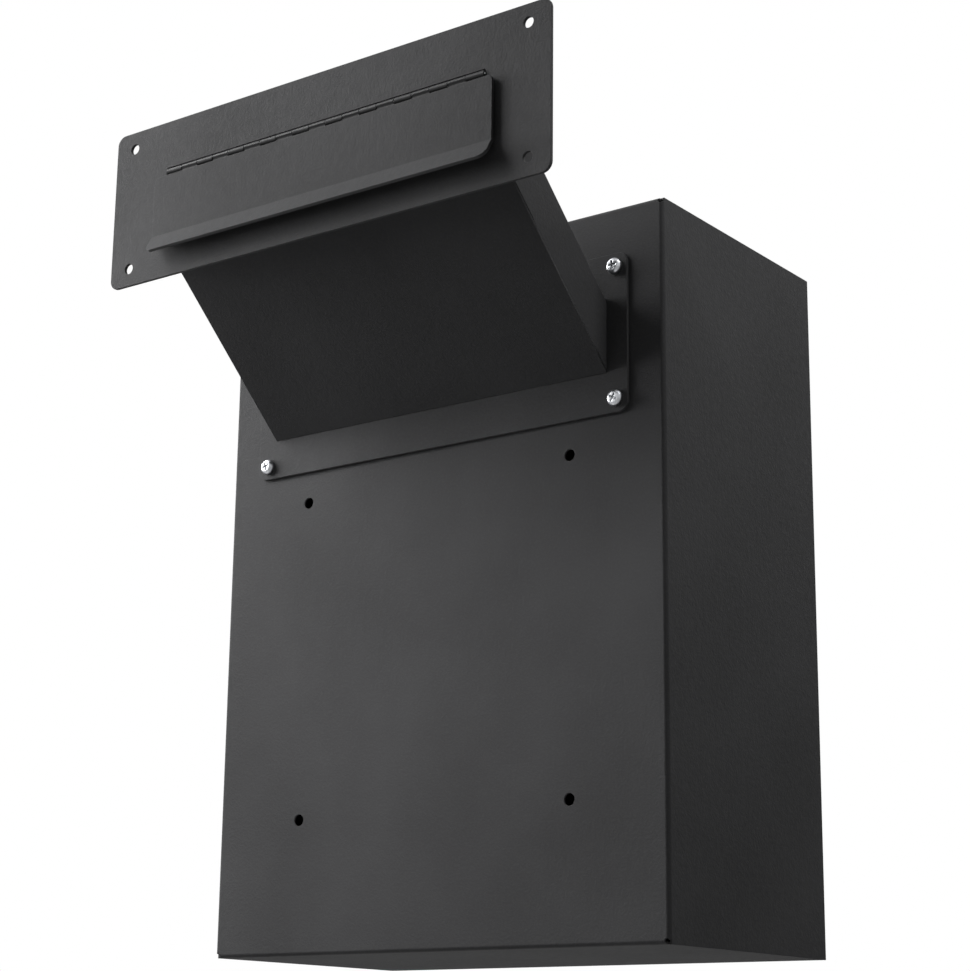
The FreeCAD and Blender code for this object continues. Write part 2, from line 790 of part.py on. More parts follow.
def make_cam_screw():
    body = lock_body("cam_screw")
    head = sketch_on(body, "XZ_Plane", "cam_back + cam_washer_sheet")
    draw_circle(head, "2 * cam_screw_head_radius")
    pad(body, head, "cam_screw_head")
    end = -value("cam_back + cam_washer_sheet + cam_screw_head")
    round_edges(body, "cam_screw_head / 2", lambda edge: lies_at(edge, "Y", end))
    shank = sketch_on(body, "XZ_Plane", "cam_back + cam_washer_sheet")
    draw_circle(shank, "2 * cam_screw_radius")
    pad(body, shank, "cam_washer_sheet + cam_screw_grip", other_way=True)
    slot = sketch_on(body, "XZ_Plane", "cam_back + cam_washer_sheet + cam_screw_head")
    draw_rectangle(slot, "2 * cam_screw_head_radius", "cam_screw_slot_width")
    pocket(body, slot, "cam_screw_slot_depth")


make_box_body()
make_chute_flange()
make_chute_hood()
make_chute_floor()
make_flange_screws()
make_flange_washers()
make_flange_nuts()
make_door_frame()
make_faceplate()
make_chute_sleeve()
make_flap_hinge()
make_flap()
make_door_hinge()
make_door_panel()
make_lock_housing()
make_lock_nut()
make_lock_plug()
make_lock_cam()
make_cam_washer()
make_cam_screw()
doc.recompute()

for item in doc.Objects:
    if {"Invalid", "Error"} & set(item.State):
        raise ValueError(f"{item.Label} failed: {item.State}")
for node in nodes:
    if node.Shape.isNull() or not node.Shape.isValid() or not node.Shape.Solids:
        raise ValueError(f"{node.Label} has no valid solid")

os.makedirs("parts", exist_ok=True)
for node in nodes:
    node.Shape.exportStep(f"parts/{node.Label}.step")
    box = node.Shape.BoundBox
    print(f"{node.Label:26s} {len(node.Shape.Solids)} solids, {node.Shape.Volume:10.0f} mm3,", box)
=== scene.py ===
import json

import bmesh
import bpy
import numpy as np
from mathutils import Matrix, Vector
from mathutils.geometry import delaunay_2d_cdt


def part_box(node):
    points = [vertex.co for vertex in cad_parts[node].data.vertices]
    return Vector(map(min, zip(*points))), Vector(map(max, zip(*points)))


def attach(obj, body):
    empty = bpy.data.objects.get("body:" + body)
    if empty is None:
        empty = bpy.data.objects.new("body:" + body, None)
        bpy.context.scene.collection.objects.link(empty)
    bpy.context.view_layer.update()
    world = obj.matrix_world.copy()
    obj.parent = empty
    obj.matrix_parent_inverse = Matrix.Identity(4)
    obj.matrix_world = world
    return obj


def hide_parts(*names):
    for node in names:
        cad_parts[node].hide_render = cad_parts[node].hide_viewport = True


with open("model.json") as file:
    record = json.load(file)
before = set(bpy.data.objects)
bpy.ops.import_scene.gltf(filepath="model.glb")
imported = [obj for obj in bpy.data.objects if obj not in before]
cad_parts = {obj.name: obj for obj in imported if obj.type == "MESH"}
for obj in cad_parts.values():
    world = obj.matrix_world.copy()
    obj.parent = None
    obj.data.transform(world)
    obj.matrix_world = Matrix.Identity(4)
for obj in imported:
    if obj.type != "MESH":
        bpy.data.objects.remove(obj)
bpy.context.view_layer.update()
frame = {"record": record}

record = frame["record"]

# Box body: one sheet of 1.5 mm steel, cut flat with its holes and corner notches, folded into the
# wall face, top, bottom and sides, and powder coated black. Its side flanges run the full height,
# and the top and bottom ones butt against their inner faces.

MM = 0.001
BOX_SHEET = 1.5 * MM
BOX_BEND = 2.5 * MM
BOX_RELIEF = 1.5 * MM
BOLT_HOLE = 3.5 * MM
FLANGE_HOLE = 2.75 * MM
FLANGE_HOLE_INSET = 8 * MM
CHUTE_SHEET = 1.5 * MM
CHUTE_ANGLE = np.radians(42.8)
CHUTE_HEIGHT = 33.2 * MM
FLANGE_SHEET = 2 * MM
MOUTH_CORNER = 0.6 * MM
SEAM = 0.12 * MM
RIM = 0.28 * MM
RIM_STEPS = 4
BEND_STEPS = 6
JOIN_SIZE = 1e-4 * MM
TINY = 1e-7


def arcs(corners, behind, ahead, radius, steps):
    """An arc in place of each corner: from centre - radius * n, with n the left normal of the edge
    behind, turned in equal steps until it is that of the edge ahead. Returns points and normals."""
    cross = behind[:, 0] * ahead[:, 1] - behind[:, 1] * ahead[:, 0]
    turn = np.arctan2(cross, (behind * ahead).sum(axis=1))
    left = np.stack([-behind[:, 1], behind[:, 0]], axis=1)
    signed = (radius * np.sign(turn))[:, None]
    centre = corners - behind * (radius * np.tan(abs(turn) / 2))[:, None] + left * signed
    angle = turn[:, None] * np.linspace(0, 1, steps)
    cosine, sine = np.cos(angle), np.sin(angle)
    x, y = left[:, :1], left[:, 1:]
    normal = np.stack([x * cosine - y * sine, x * sine + y * cosine], axis=2)
    return centre[:, None] - signed[:, None] * normal, normal


def outline(corners, radius=0.0, steps=7):
    """A closed anticlockwise outline through corners, each rounded to its radius."""
    corners = np.array(corners, float)
    ahead = np.roll(corners, -1, axis=0) - corners
    ahead /= np.linalg.norm(ahead, axis=1, keepdims=True)
    radius = np.broadcast_to(np.array(radius, float), len(corners))
    points, _ = arcs(corners, np.roll(ahead, 1, axis=0), ahead, radius, steps)
    keep = (np.arange(steps) == 0) | (radius[:, None] > 0)
    return points[keep]


def bent_line(corners, radius, steps=7):
    """An open line through corners with an arc at each bend: its points, the unit normals to its
    left, and the distance along it to each point."""
    corners = np.array(corners, float)
    way = np.diff(corners, axis=0)
    way /= np.linalg.norm(way, axis=1, keepdims=True)
    radius = np.broadcast_to(np.array(radius, float), len(corners) - 2)
    points, normals = arcs(corners[1:-1], way[:-1], way[1:], radius, steps)
    ends = np.stack([-way[[0, -1], 1], way[[0, -1], 0]], axis=1)
    points = np.concatenate([corners[:1], points.reshape(-1, 2), corners[-1:]])
    normals = np.concatenate([ends[:1], normals.reshape(-1, 2), ends[1:]])
    along = np.concatenate([[0], np.cumsum(np.linalg.norm(np.diff(points, axis=0), axis=1))])
    return points, normals, along


def rectangle(width, height, radius=0.0, centre=(0.0, 0.0)):
    """A rectangle about a centre, anticlockwise, with rounded corners."""
    x, y = width / 2, height / 2
    return outline([(-x, -y), (x, -y), (x, y), (-x, y)], radius) + np.array(centre)


def circle(radius, centre=(0.0, 0.0), count=36):
    """Equal steps round a centre, anticlockwise from its right."""
    angle = np.arange(count) * 2 * np.pi / count
    return np.array(centre) + radius * np.stack([np.cos(angle), np.sin(angle)], axis=1)


def inset(loop, distance):
    """A closed outline moved to its left by a distance, along the mitre of the two edges that
    meet at each point."""
    ahead = np.roll(loop, -1, axis=0) - loop
    ahead /= np.linalg.norm(ahead, axis=1, keepdims=True)
    left = np.stack([-ahead[:, 1], ahead[:, 0]], axis=1)
    before = np.roll(left, 1, axis=0)
    return loop + distance * (left + before) / (1 + (left * before).sum(axis=1, keepdims=True))


def crossings(loop, lines):
    """Where a closed outline has its own points and where it crosses lines, as point number plus
    share of the way to the next: start / (start - end), from the two ends' heights over a line."""
    places = [np.arange(len(loop), dtype=float)]
    for axis, level in lines:
        start = loop[:, axis] - level
        end = np.roll(start, -1)
        apart = np.minimum(abs(start), abs(end)) > TINY
        crossed = np.nonzero((start * end < 0) & apart)[0]
        places.append(crossed + start[crossed] / (start[crossed] - end[crossed]))
    place = np.unique(np.concatenate(places).round(9))
    return place.astype(int), (place % 1)[:, None]


def inside(points, loops):
    """Which points lie within the outlines: a ray from them towards +u leaves an odd number."""
    odd = np.zeros(len(points), bool)
    x, y = points[:, :1], points[:, 1:]
    for loop in loops:
        ahead = np.roll(loop, -1, axis=0)
        passed = (loop[:, 1] > y) != (ahead[:, 1] > y)
        rise = ahead[:, 1] - loop[:, 1]
        rise = np.where(rise == 0, 1, rise)
        reach = loop[:, 0] + (y - loop[:, 1]) / rise * (ahead[:, 0] - loop[:, 0])
        odd ^= (passed & (x < reach)).sum(axis=1) % 2 == 1
    return odd


def fill(loops, lines=()):
    """Triangles between closed outlines, with edges along the lines too: the points, which are the
    outlines' own in their order and then the lines' crossings, and the triangles."""
    points = np.concatenate(loops)
    edges, start = [], 0
    for loop in loops:
        index = np.arange(len(loop))
        edges.append(start + np.stack([index, np.roll(index, -1)], axis=1))
        start += len(loop)
    for axis, level in lines:
        on_line = np.nonzero(abs(points[:, axis] - level) < TINY)[0]
        on_line = on_line[np.argsort(points[on_line, 1 - axis])]
        pairs = np.stack([on_line[:-1], on_line[1:]], axis=1)
        if len(pairs):
            edges.append(pairs[inside(points[pairs].mean(axis=1), loops)])
    flat = [Vector(point) for point in points / MM]
    edges = np.concatenate(edges).tolist()
    made, _, faces, origin, _, _ = delaunay_2d_cdt(flat, edges, [], 0, 1e-6)
    made = np.array([tuple(point) for point in made]) * MM
    renamed = np.array([own[0] if own else -1 for own in origin])
    extra = np.nonzero(renamed < 0)[0]
    renamed[extra] = len(points) + np.arange(len(extra))
    faces = renamed[np.array(faces)]
    points = np.concatenate([points, made[extra]])
    return points, faces[inside(points[faces].mean(axis=1), loops)]


def make_object(name, points, faces, edge=None):
    """A mesh object from points and faces. Points at one place are joined, faces lose the corners
    that this makes equal, and then all of them are turned outwards. edge is 1 on a rim that gets a
    painted highlight."""
    cell = (points / JOIN_SIZE).round()
    _, first, joined = np.unique(cell, axis=0, return_index=True, return_inverse=True)
    joined = joined.ravel()
    short = [list(dict.fromkeys(joined[list(face)].tolist())) for face in faces]
    mesh = bpy.data.meshes.new(name)
    points = points[first]
    mesh.from_pydata(points.tolist(), [], [face for face in short if len(face) > 2])
    mesh.validate()
    shell = bmesh.new()
    shell.from_mesh(mesh)
    bmesh.ops.recalc_face_normals(shell, faces=shell.faces)
    shell.to_mesh(mesh)
    shell.free()
    mesh.polygons.foreach_set("use_smooth", [True] * len(mesh.polygons))
    attribute = mesh.attributes.new("edge", "FLOAT", "POINT")
    highlight_rim = np.zeros(len(points)) if edge is None else edge[first]
    attribute.data.foreach_set("value", highlight_rim.astype(np.float32))
    piece = bpy.data.objects.new(name, mesh)
    bpy.context.scene.collection.objects.link(piece)
    piece.modifiers.new("Weighted", "WEIGHTED_NORMAL")
    return piece


def sheet(name, loops, thickness, fold, lines=(), rim=RIM):
    """A cut and folded sheet. loops are its outline, anticlockwise, and its holes, clockwise, on
    the flat. They are carried round a rim of two quarter circles: inset rim * (1 - sin a), depth
    rim * (1 - cos a), and the same from the back. fold turns (u, v, depth) into places."""
    angle = np.linspace(0, np.pi / 2, RIM_STEPS)
    inward = rim * (1 - np.sin(angle))
    depth = rim * (1 - np.cos(angle))
    inward = np.concatenate([inward, inward[::-1]])
    depth = np.concatenate([depth, thickness - depth[::-1]])
    rings = [[] for _ in inward]
    following, count = [], 0
    for loop in loops:
        whole, share = crossings(inset(loop, rim), lines)
        for ring, distance in zip(rings, inward):
            moved = inset(loop, distance) if distance > TINY else loop
            ring.append(moved[whole] * (1 - share) + np.roll(moved, -1, axis=0)[whole] * share)
        following.append(count + np.roll(np.arange(len(whole)), -1))
        count += len(whole)
    following = np.concatenate(following)
    flat, triangles = fill(rings[0], lines)
    layers = [np.column_stack([flat, np.zeros(len(flat))])]
    for ring, level in zip(rings[1:-1], depth[1:-1]):
        layers.append(np.column_stack([np.concatenate(ring), np.full(count, level)]))
    layers.append(np.column_stack([flat, np.full(len(flat), thickness)]))
    start = np.cumsum([0] + [len(layer) for layer in layers])
    index = np.arange(count)
    faces = (triangles[:, ::-1] + start[0]).tolist() + (triangles + start[-2]).tolist()
    for a, b in zip(start[:-2], start[1:-1]):
        faces += np.stack([a + index, a + following, b + following, b + index], axis=1).tolist()
    points = fold(*np.concatenate(layers).T)
    # The rim rings are marked so that the coat paints a highlight on them.
    edge = np.zeros(len(points))
    edge[start[1] : start[-2]] = 1
    return make_object(name, points, faces, edge)


def pan_fold(middle, width, height, bend, face_y, way):
    """The fold of a pan: within the bend lines u, v are x, z. Past one, the sheet turns through an
    arc of the bend's radius less the depth, and then runs straight along way * y."""
    across, up, arc = width / 2 - bend, height / 2 - bend, bend * np.pi / 2

    def fold(u, v, w):
        past_u, past_v = abs(u) - across, abs(v) - up
        sideways = past_u > past_v
        past = np.maximum(past_u, past_v)
        angle = np.clip(past / bend, 0, np.pi / 2)
        along = (bend - w) * np.sin(angle)
        away = bend - (bend - w) * np.cos(angle) + np.maximum(past - arc, 0)
        x = np.where(sideways & (past > 0), np.sign(u) * (across + along), u)
        z = np.where(~sideways & (past > 0), np.sign(v) * (up + along), v)
        return np.column_stack([middle[0] + x, face_y + way * away, middle[1] + z])

    steps = arc * np.arange(BEND_STEPS + 1) / BEND_STEPS
    lines = [(0, sign * (across + step)) for sign in (-1, 1) for step in steps]
    lines += [(1, sign * (up + step)) for sign in (-1, 1) for step in steps]
    return fold, lines


def pan_outline(width, height, depth, bend, thickness, relief):
    """The flat outline of a pan: a cross, with a round relief at each inner corner, its centre 0.3
    of the bend out from it both ways. A quarter is drawn, and turned into the others by changing
    its signs and its order."""
    across, up, arc = width / 2 - bend, height / 2 - bend, bend * np.pi / 2
    reach = arc + depth - bend
    corner = 0.3 * bend
    chord = np.sqrt(relief**2 - corner**2)
    angle = np.linspace(np.arctan2(-corner, chord), np.arctan2(chord, -corner) - 2 * np.pi, 13)
    notch = corner + relief * np.stack([np.cos(angle), np.sin(angle)], axis=1) + (across, up)
    end = width / 2 - thickness - SEAM
    before = [(across + reach, height / 2), (across + arc, height / 2), (across + arc, up)]
    after = [(across, up + arc), (end, up + arc), (end, up + reach)]
    quarter = np.concatenate([before, notch, after])
    mirrored = quarter[::-1] * (-1, 1)
    return np.concatenate([quarter, mirrored, -quarter, -mirrored])


def span(node):
    """A CAD node's lowest and highest corners, and its middle."""
    low, high = (np.array(corner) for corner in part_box(node))
    return low, high, (low + high) / 2


def four(middle, half):
    """The corners of a rectangle about a middle point, anticlockwise from the lower left."""
    signs = ((-1, -1), (1, -1), (1, 1), (-1, 1))
    return [(middle[0] + i * half[0], middle[1] + k * half[1]) for i, k in signs]


def new_material(name, **fixed):
    """A material whose Principled shader has plain values on its own sockets."""
    material = bpy.data.materials.new(name)
    material.use_nodes = True
    tree = material.node_tree
    shader = next(node for node in tree.nodes if node.type == "BSDF_PRINCIPLED")
    for socket, number in fixed.items():
        shader.inputs[socket.replace("_", " ")].default_value = number
    return material, tree, shader


def feed(tree, socket, source):
    """Give a socket another socket's value, or a number or colour of its own."""
    if isinstance(source, bpy.types.NodeSocket):
        tree.links.new(source, socket)
    elif isinstance(source, tuple):
        socket.default_value = (*source, 1)
    else:
        socket.default_value = source


def object_place(tree, stretch=(1, 1, 1)):
    """Object coordinates, stretched along the axes."""
    mapping = tree.nodes.new("ShaderNodeMapping")
    mapping.inputs["Scale"].default_value = stretch
    tree.links.new(tree.nodes.new("ShaderNodeTexCoord").outputs["Object"], mapping.inputs["Vector"])
    return mapping.outputs["Vector"]


def noise(tree, place, scale, detail=2.0, rough=0.5):
    """A soft noise of so many cells to the metre."""
    node = tree.nodes.new("ShaderNodeTexNoise")
    sources = {"Scale": scale, "Detail": detail, "Roughness": rough, "Vector": place}
    for socket, source in sources.items():
        feed(tree, node.inputs[socket], source)
    return node.outputs["Fac"]


def remap(tree, source, low, high, to_low, to_high):
    """A value carried from one range to another, and kept within it."""
    node = tree.nodes.new("ShaderNodeMapRange")
    for number, level in enumerate((source, low, high, to_low, to_high)):
        feed(tree, node.inputs[number], level)
    return node.outputs[0]


def blend(tree, share, first, second):
    """The first colour, and a share of the second in place of it."""
    node = tree.nodes.new("ShaderNodeMix")
    node.data_type = "RGBA"
    for number, source in ((0, share), (6, first), (7, second)):
        feed(tree, node.inputs[number], source)
    return node.outputs[2]


def bump(tree, height, distance, after=None):
    """A normal for a height of so many metres, on top of another bump."""
    node = tree.nodes.new("ShaderNodeBump")
    node.inputs["Distance"].default_value = distance
    tree.links.new(height, node.inputs["Height"])
    if after is not None:
        tree.links.new(after, node.inputs["Normal"])
    return node.outputs["Normal"]


def painted_rim_highlight(tree):
    """1 on a sheet's rounded rim and 0 on its faces: where the coat gets its painted highlight."""
    node = tree.nodes.new("ShaderNodeAttribute")
    node.attribute_name = "edge"
    return node.outputs["Fac"]


def powder_coat(name, dark, light, rim, pebble_size, pebble_depth, rough):
    """A baked powder coat: a faint mottle, a pebbled skin with a slower swell under it and a finer
    grain on it, and a paler rim that is a painted highlight. pebble_size and pebble_depth are
    metres."""
    material, tree, shader = new_material(name, Specular_IOR_Level=0.07)
    place = object_place(tree)
    mottle = noise(tree, place, 11.0, detail=3.0)
    swell = noise(tree, place, 0.36 / pebble_size, detail=1.0)
    pebble = noise(tree, place, 1 / pebble_size, detail=1.5, rough=0.6)
    fine = noise(tree, place, 2.6 / pebble_size, detail=0.0)
    colour = blend(tree, remap(tree, mottle, 0.3, 0.7, 0.0, 1.0), dark, light)
    colour = blend(tree, remap(tree, pebble, 0.45, 0.8, 0.0, 0.12), colour, rim)
    # Painted highlight: the rounded rims are drawn towards the pale rim colour.
    colour = blend(tree, remap(tree, painted_rim_highlight(tree), 0.0, 1.0, 0.0, 0.45), colour, rim)
    feed(tree, shader.inputs["Base Color"], colour)
    gloss = remap(tree, swell, 0.3, 0.7, rough - 0.03, rough + 0.03)
    feed(tree, shader.inputs["Roughness"], gloss)
    skin = bump(tree, pebble, pebble_depth, after=bump(tree, swell, 0.7 * pebble_depth))
    feed(tree, shader.inputs["Normal"], bump(tree, fine, 0.15 * pebble_depth, after=skin))
    return material


coat = powder_coat(
    "black_powder_coat",
    dark=(0.040, 0.040, 0.0412),
    light=(0.054, 0.054, 0.0556),
    # rim is the pale colour of the pebble flecks and of the painted rim highlight.
    rim=(0.095, 0.095, 0.097),
    pebble_size=1.5 * MM,
    pebble_depth=0.15 * MM,
    rough=0.7,
)


def finish_piece(piece, body, node, material=coat):
    """Give a piece its material, its body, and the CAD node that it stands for."""
    piece.data.materials.append(material)
    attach(piece, body)
    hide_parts(node)


box_low, box_high, box_middle = span("box_body")
box_width, box_depth, box_height = box_high - box_low
chute_low, chute_high, chute_middle = span("chute_flange")
chute_size = chute_high - chute_low
flange_screws = four(chute_middle[[0, 2]], chute_size[[0, 2]] / 2 - FLANGE_HOLE_INSET)
wall_bolts = next(mount for mount in record["mounts"] if mount["name"] == "wall_bolts")
bolt_half = [wall_bolts["dims"][f"spacing_{way}_mm"] * MM / 2 for way in "xy"]
bolt_places = four(np.array(wall_bolts["pos_m"])[[0, 2]], bolt_half)
hood_low, hood_high, _ = span("chute_hood")
floor_low, floor_high, _ = span("chute_floor")
chute_half = hood_high[0]
plate_rise = CHUTE_SHEET / np.cos(CHUTE_ANGLE)
mouth_low = floor_low[2] - np.tan(CHUTE_ANGLE) * FLANGE_SHEET + plate_rise
mouth_high = floor_low[2] + CHUTE_HEIGHT / np.cos(CHUTE_ANGLE) - plate_rise
mouth_tall, mouth_middle = mouth_high - mouth_low, (mouth_low + mouth_high) / 2
mouth = rectangle(2 * chute_half, mouth_tall, MOUTH_CORNER, (0, mouth_middle))

fold, lines = pan_fold(box_middle[[0, 2]], box_width, box_height, BOX_BEND, box_low[1], 1)
holes = [mouth] + [circle(BOLT_HOLE, place) for place in bolt_places]
holes += [circle(FLANGE_HOLE, place) for place in flange_screws]
loops = [pan_outline(box_width, box_height, box_depth, BOX_BEND, BOX_SHEET, BOX_RELIEF)]
loops += [hole[::-1] - box_middle[[0, 2]] for hole in holes]
piece = sheet("box_shell", loops, BOX_SHEET, fold, lines)
finish_piece(piece, "box", "box_body")

# Door frame: a ring of the same sheet, welded inside the box a little behind its open side, for
# the door to close against.

FRAME_REACH = 15 * MM
FRAME_CORNER = 0.8 * MM


def flat_fold(middle, face_y):
    """A flat sheet: u, v are x, z about a middle point, and the depth runs into the room."""

    def fold(u, v, w):
        return np.column_stack([middle[0] + u, face_y + w, middle[1] + v])

    return fold


low, high, middle = span("door_frame")
width, _, height = high - low
loops = [rectangle(width, height, FRAME_CORNER)]
loops += [rectangle(width - 2 * FRAME_REACH, height - 2 * FRAME_REACH, FRAME_CORNER)[::-1]]
piece = sheet("door_stop_ring", loops, high[1] - low[1], flat_fold(middle[[0, 2]], low[1]))
finish_piece(piece, "box", "door_frame")

# Chute: a flange screwed to the wall face, and on it a slanted duct of 1.5 mm sheet. The duct's
# top and sides are one folded hood, and its floor is a plate welded along the hood's lower edges.
# The seam between them is open by half a millimetre over the last 40 mm before the faceplate.

FLANGE_CORNER = 6 * MM
CHUTE_BEND = 2.5 * MM
SEAM_OPEN = 40 * MM
SEAM_TAPER = 4 * MM
SEAM_WIDTH = 0.55 * MM

loops = [rectangle(*chute_size[[0, 2]], FLANGE_CORNER)]
clear_width = 2 * (chute_half - CHUTE_SHEET)
opening = rectangle(clear_width, mouth_tall, MOUTH_CORNER, (0, mouth_middle - chute_middle[2]))
loops += [opening[::-1]]
holes = [circle(FLANGE_HOLE, place) for place in flange_screws]
loops += [hole[::-1] - chute_middle[[0, 2]] for hole in holes]
fold = flat_fold(chute_middle[[0, 2]], chute_low[1])
piece = sheet("chute_base", loops, chute_size[1], fold)
finish_piece(piece, "box", "chute_flange")


def on_chute(x, out, rise):
    """A place on the chute: x across it, out from the wall, and rise, its height square to the
    floor plate's underside, which climbs by tan of the chute's angle for each step outwards."""
    climb = np.tan(CHUTE_ANGLE) * (out + floor_high[1]) + rise / np.cos(CHUTE_ANGLE)
    return np.column_stack([x, -out, floor_low[2] + climb])


def offset_line(distance, depth, points, normals, along):
    """Places at distances along a bent line, moved off it to its left by the depth."""
    on_line = (np.interp(distance, along, points[:, i]) for i in (0, 1))
    towards = (np.interp(distance, along, normals[:, i]) for i in (0, 1))
    return [place + depth * normal for place, normal in zip(on_line, towards)]


def chute_fold(corners, radius):
    """The fold of a sheet round the chute: u runs along a bent line across it, v is the distance
    out from the wall, and the depth runs to the left of the line."""
    points, normals, along = bent_line(corners, radius)

    def fold(u, v, w):
        x, rise = offset_line(u, w, points, normals, along)
        return on_chute(x, v, rise)

    return fold, [(0, level) for level in along[1:-1]], along[-1]


hood_line = [(chute_half, CHUTE_SHEET), (chute_half, CHUTE_HEIGHT)]
hood_line += [(-chute_half, CHUTE_HEIGHT), (-chute_half, CHUTE_SHEET)]
fold, lines, length = chute_fold(hood_line, CHUTE_BEND)
near, far = -hood_high[1], -hood_low[1]
opens, wide = far - SEAM_OPEN, far - SEAM_OPEN + SEAM_TAPER
right, left = length - SEAM_WIDTH, SEAM_WIDTH
loop = [(0, near), (length, near), (length, opens), (right, wide)]
loop += [(right, far), (left, far), (left, wide), (0, opens)]
piece = sheet("chute_top_and_sides", [outline(loop)], CHUTE_SHEET, fold, lines)
finish_piece(piece, "box", "chute_hood")

fold, _, length = chute_fold([(-chute_half, 0), (0, 0), (chute_half, 0)], 0)
loop = outline([(0, near), (length, near), (length, far), (0, far)])
piece = sheet("chute_floor_plate", [loop], CHUTE_SHEET, fold)
finish_piece(piece, "box", "chute_floor")

# Flange screws: four zinc plated M5 pan head machine screws with a cross recess, each driven home
# at its own angle. Washers and nuts hold them inside the box.

HEAD_RADIUS = 4.9 * MM
HEAD_HEIGHT = 3.6 * MM
HEAD_EDGE = 1.0 * MM
SHANK_RADIUS = 2.5 * MM
SHANK_LENGTH = 12 * MM
THREAD_PITCH = 0.8 * MM
RECESS_DEPTH = 1.9 * MM
RECESS_TAPER = 0.25 * MM
CROWN = 0.05 * MM
EDGE_BREAK = 0.12 * MM
AROUND = 48


def join(parts):
    """Several lots of points and faces as one."""
    points, faces, start = [], [], 0
    for own_points, own_faces in parts:
        points.append(own_points)
        faces += [[start + int(number) for number in face] for face in own_faces]
        start += len(own_points)
    return np.concatenate(points), faces


def turned(radius, height, closed=False):
    """A surface of rows round an axis: at angle t of row k the point is radius[k, t] * (cos t,
    sin t) at height[k, t]. Closed joins the last row to the first. Otherwise the ends are left
    open, or drawn to a point at radius 0."""
    radius, height = np.broadcast_arrays(np.atleast_2d(radius), np.atleast_2d(height))
    count, around = radius.shape
    angle = np.arange(around) * 2 * np.pi / around
    points = np.stack([radius * np.cos(angle), radius * np.sin(angle), height], axis=2)
    points = points.reshape(-1, 3)
    row = np.arange(count if closed else count - 1)[:, None]
    column = np.arange(around)[None, :]
    next_row, next_column = (row + 1) % count, (column + 1) % around
    corners = [row * around + column, row * around + next_column]
    corners += [next_row * around + next_column, next_row * around + column]
    return points, np.stack(corners, axis=2).reshape(-1, 4).tolist()


def rows(profile, around=AROUND):
    """A profile of radius and height as rows of equal points."""
    profile = np.array(profile, float)
    return np.repeat(profile[:, :1], around, axis=1), np.repeat(profile[:, 1:], around, axis=1)


def head_top(dome, reach, recess, depth, taper):
    """The top of a screw's head: a disc at the height dome(radius), with a recess sunk into it,
    whose walls lean in by the taper over its depth, a third of that in its first eighth."""
    disc, triangles = fill([circle(reach, count=AROUND), recess[::-1]])
    height = dome(np.linalg.norm(disc, axis=1))
    top = np.column_stack([disc, height])
    count = len(recess)
    lip = top[AROUND : AROUND + count][::-1]
    floor_level = dome(np.zeros(1))[0] - depth
    share = np.array([0.0, 0.12, 1.0])
    moved = [recess, inset(recess, 0.35 * taper), inset(recess, taper)]
    levels = [lip[:, 2] * (1 - s) + floor_level * s for s in share]
    wall = np.concatenate([np.column_stack([loop, level]) for loop, level in zip(moved, levels)])
    index = np.arange(2 * count)
    ahead = index - index % count + (index + 1) % count
    quads = np.stack([index + count, ahead + count, ahead, index], axis=1)
    bottom, low_triangles = fill([moved[-1]])
    bottom = np.column_stack([bottom, np.full(len(bottom), floor_level)])
    return [(top, triangles), (wall, quads), (bottom, low_triangles)]


def thread_rows(start, end, radius, pitch, depth):
    """A helical thread: radius less depth * (1 + cos of 2 pi (height / pitch - turn)) / 2, in six
    rows to the pitch, faded out at both ends."""
    count = int(round((end - start) / pitch * 6)) + 1
    height = np.linspace(start, end, count)[:, None] * np.ones((1, AROUND))
    turn = np.arange(AROUND)[None, :] / AROUND
    fade = np.clip(np.minimum(height - start, end - height) / (0.6 * pitch), 0, 1)
    wave = 0.5 + 0.5 * np.cos(2 * np.pi * (height / pitch - turn))
    return radius - depth * fade * wave, height


def cross_outline(length, width, radius):
    """A cross of two equal bars, anticlockwise from the right arm."""
    a, b = length / 2, width / 2
    quarter = np.array([(a, -b), (a, b), (b, b)])
    turns = [np.array([[c, s], [-s, c]]) for c, s in ((1, 0), (0, 1), (-1, 0), (0, -1))]
    return outline(np.concatenate([quarter @ turn for turn in turns]), radius, 4)


def screw(head, shank, recess, recess_depth, taper, reach=0.62):
    """A screw along +h from the underside of its head: a domed head whose side turns into its flat
    top by a quarter ellipse, and a threaded shank with a bevelled end. head is its radius, height
    and edge, shank its radius, length and pitch, and reach the share of the head's radius that the
    disc with the recess takes up."""
    head_radius, head_height, head_edge = head
    shank_radius, length, pitch = shank
    round_over = min(head_height - head_edge, 0.62 * head_radius)
    flat = head_radius - round_over
    neck, bevel = 0.2 * MM, 0.4 * MM

    def dome(radius):
        share = np.clip((radius - flat) / round_over, 0, 1)
        drop = (head_height - head_edge) * (1 - np.sqrt(1 - share**2))
        return head_height - drop - CROWN * np.clip(radius / flat, 0, 1) ** 2

    reach *= head_radius
    angle = np.linspace(np.arcsin((reach - flat) / round_over), np.pi / 2, 9)
    side = flat + round_over * np.sin(angle)
    over = [(r, -dome(np.array([r]))[0]) for r in side]
    over += [(head_radius, -EDGE_BREAK), (head_radius - EDGE_BREAK, 0), (shank_radius, 0)]
    thread = thread_rows(neck, length - bevel, shank_radius, pitch, 0.37 * pitch)
    end = [(shank_radius - bevel, length), (0, length)]
    radius, height = (np.concatenate(part) for part in zip(rows(over), thread, rows(end)))
    top = head_top(dome, reach, recess, recess_depth, taper)
    return join([turned(radius, height)] + [(points * (1, 1, -1), faces) for points, faces in top])


def set_in(part, place, y, angle=0.0):
    """A part made along its own axis, turned round it and set at x, z = place, with its height
    running from y into the room."""
    points, faces = part
    cosine, sine = np.cos(angle), np.sin(angle)
    x = points[:, 0] * cosine - points[:, 1] * sine
    z = points[:, 0] * sine + points[:, 1] * cosine
    return np.column_stack([place[0] + x, y + points[:, 2], place[1] + z]), faces


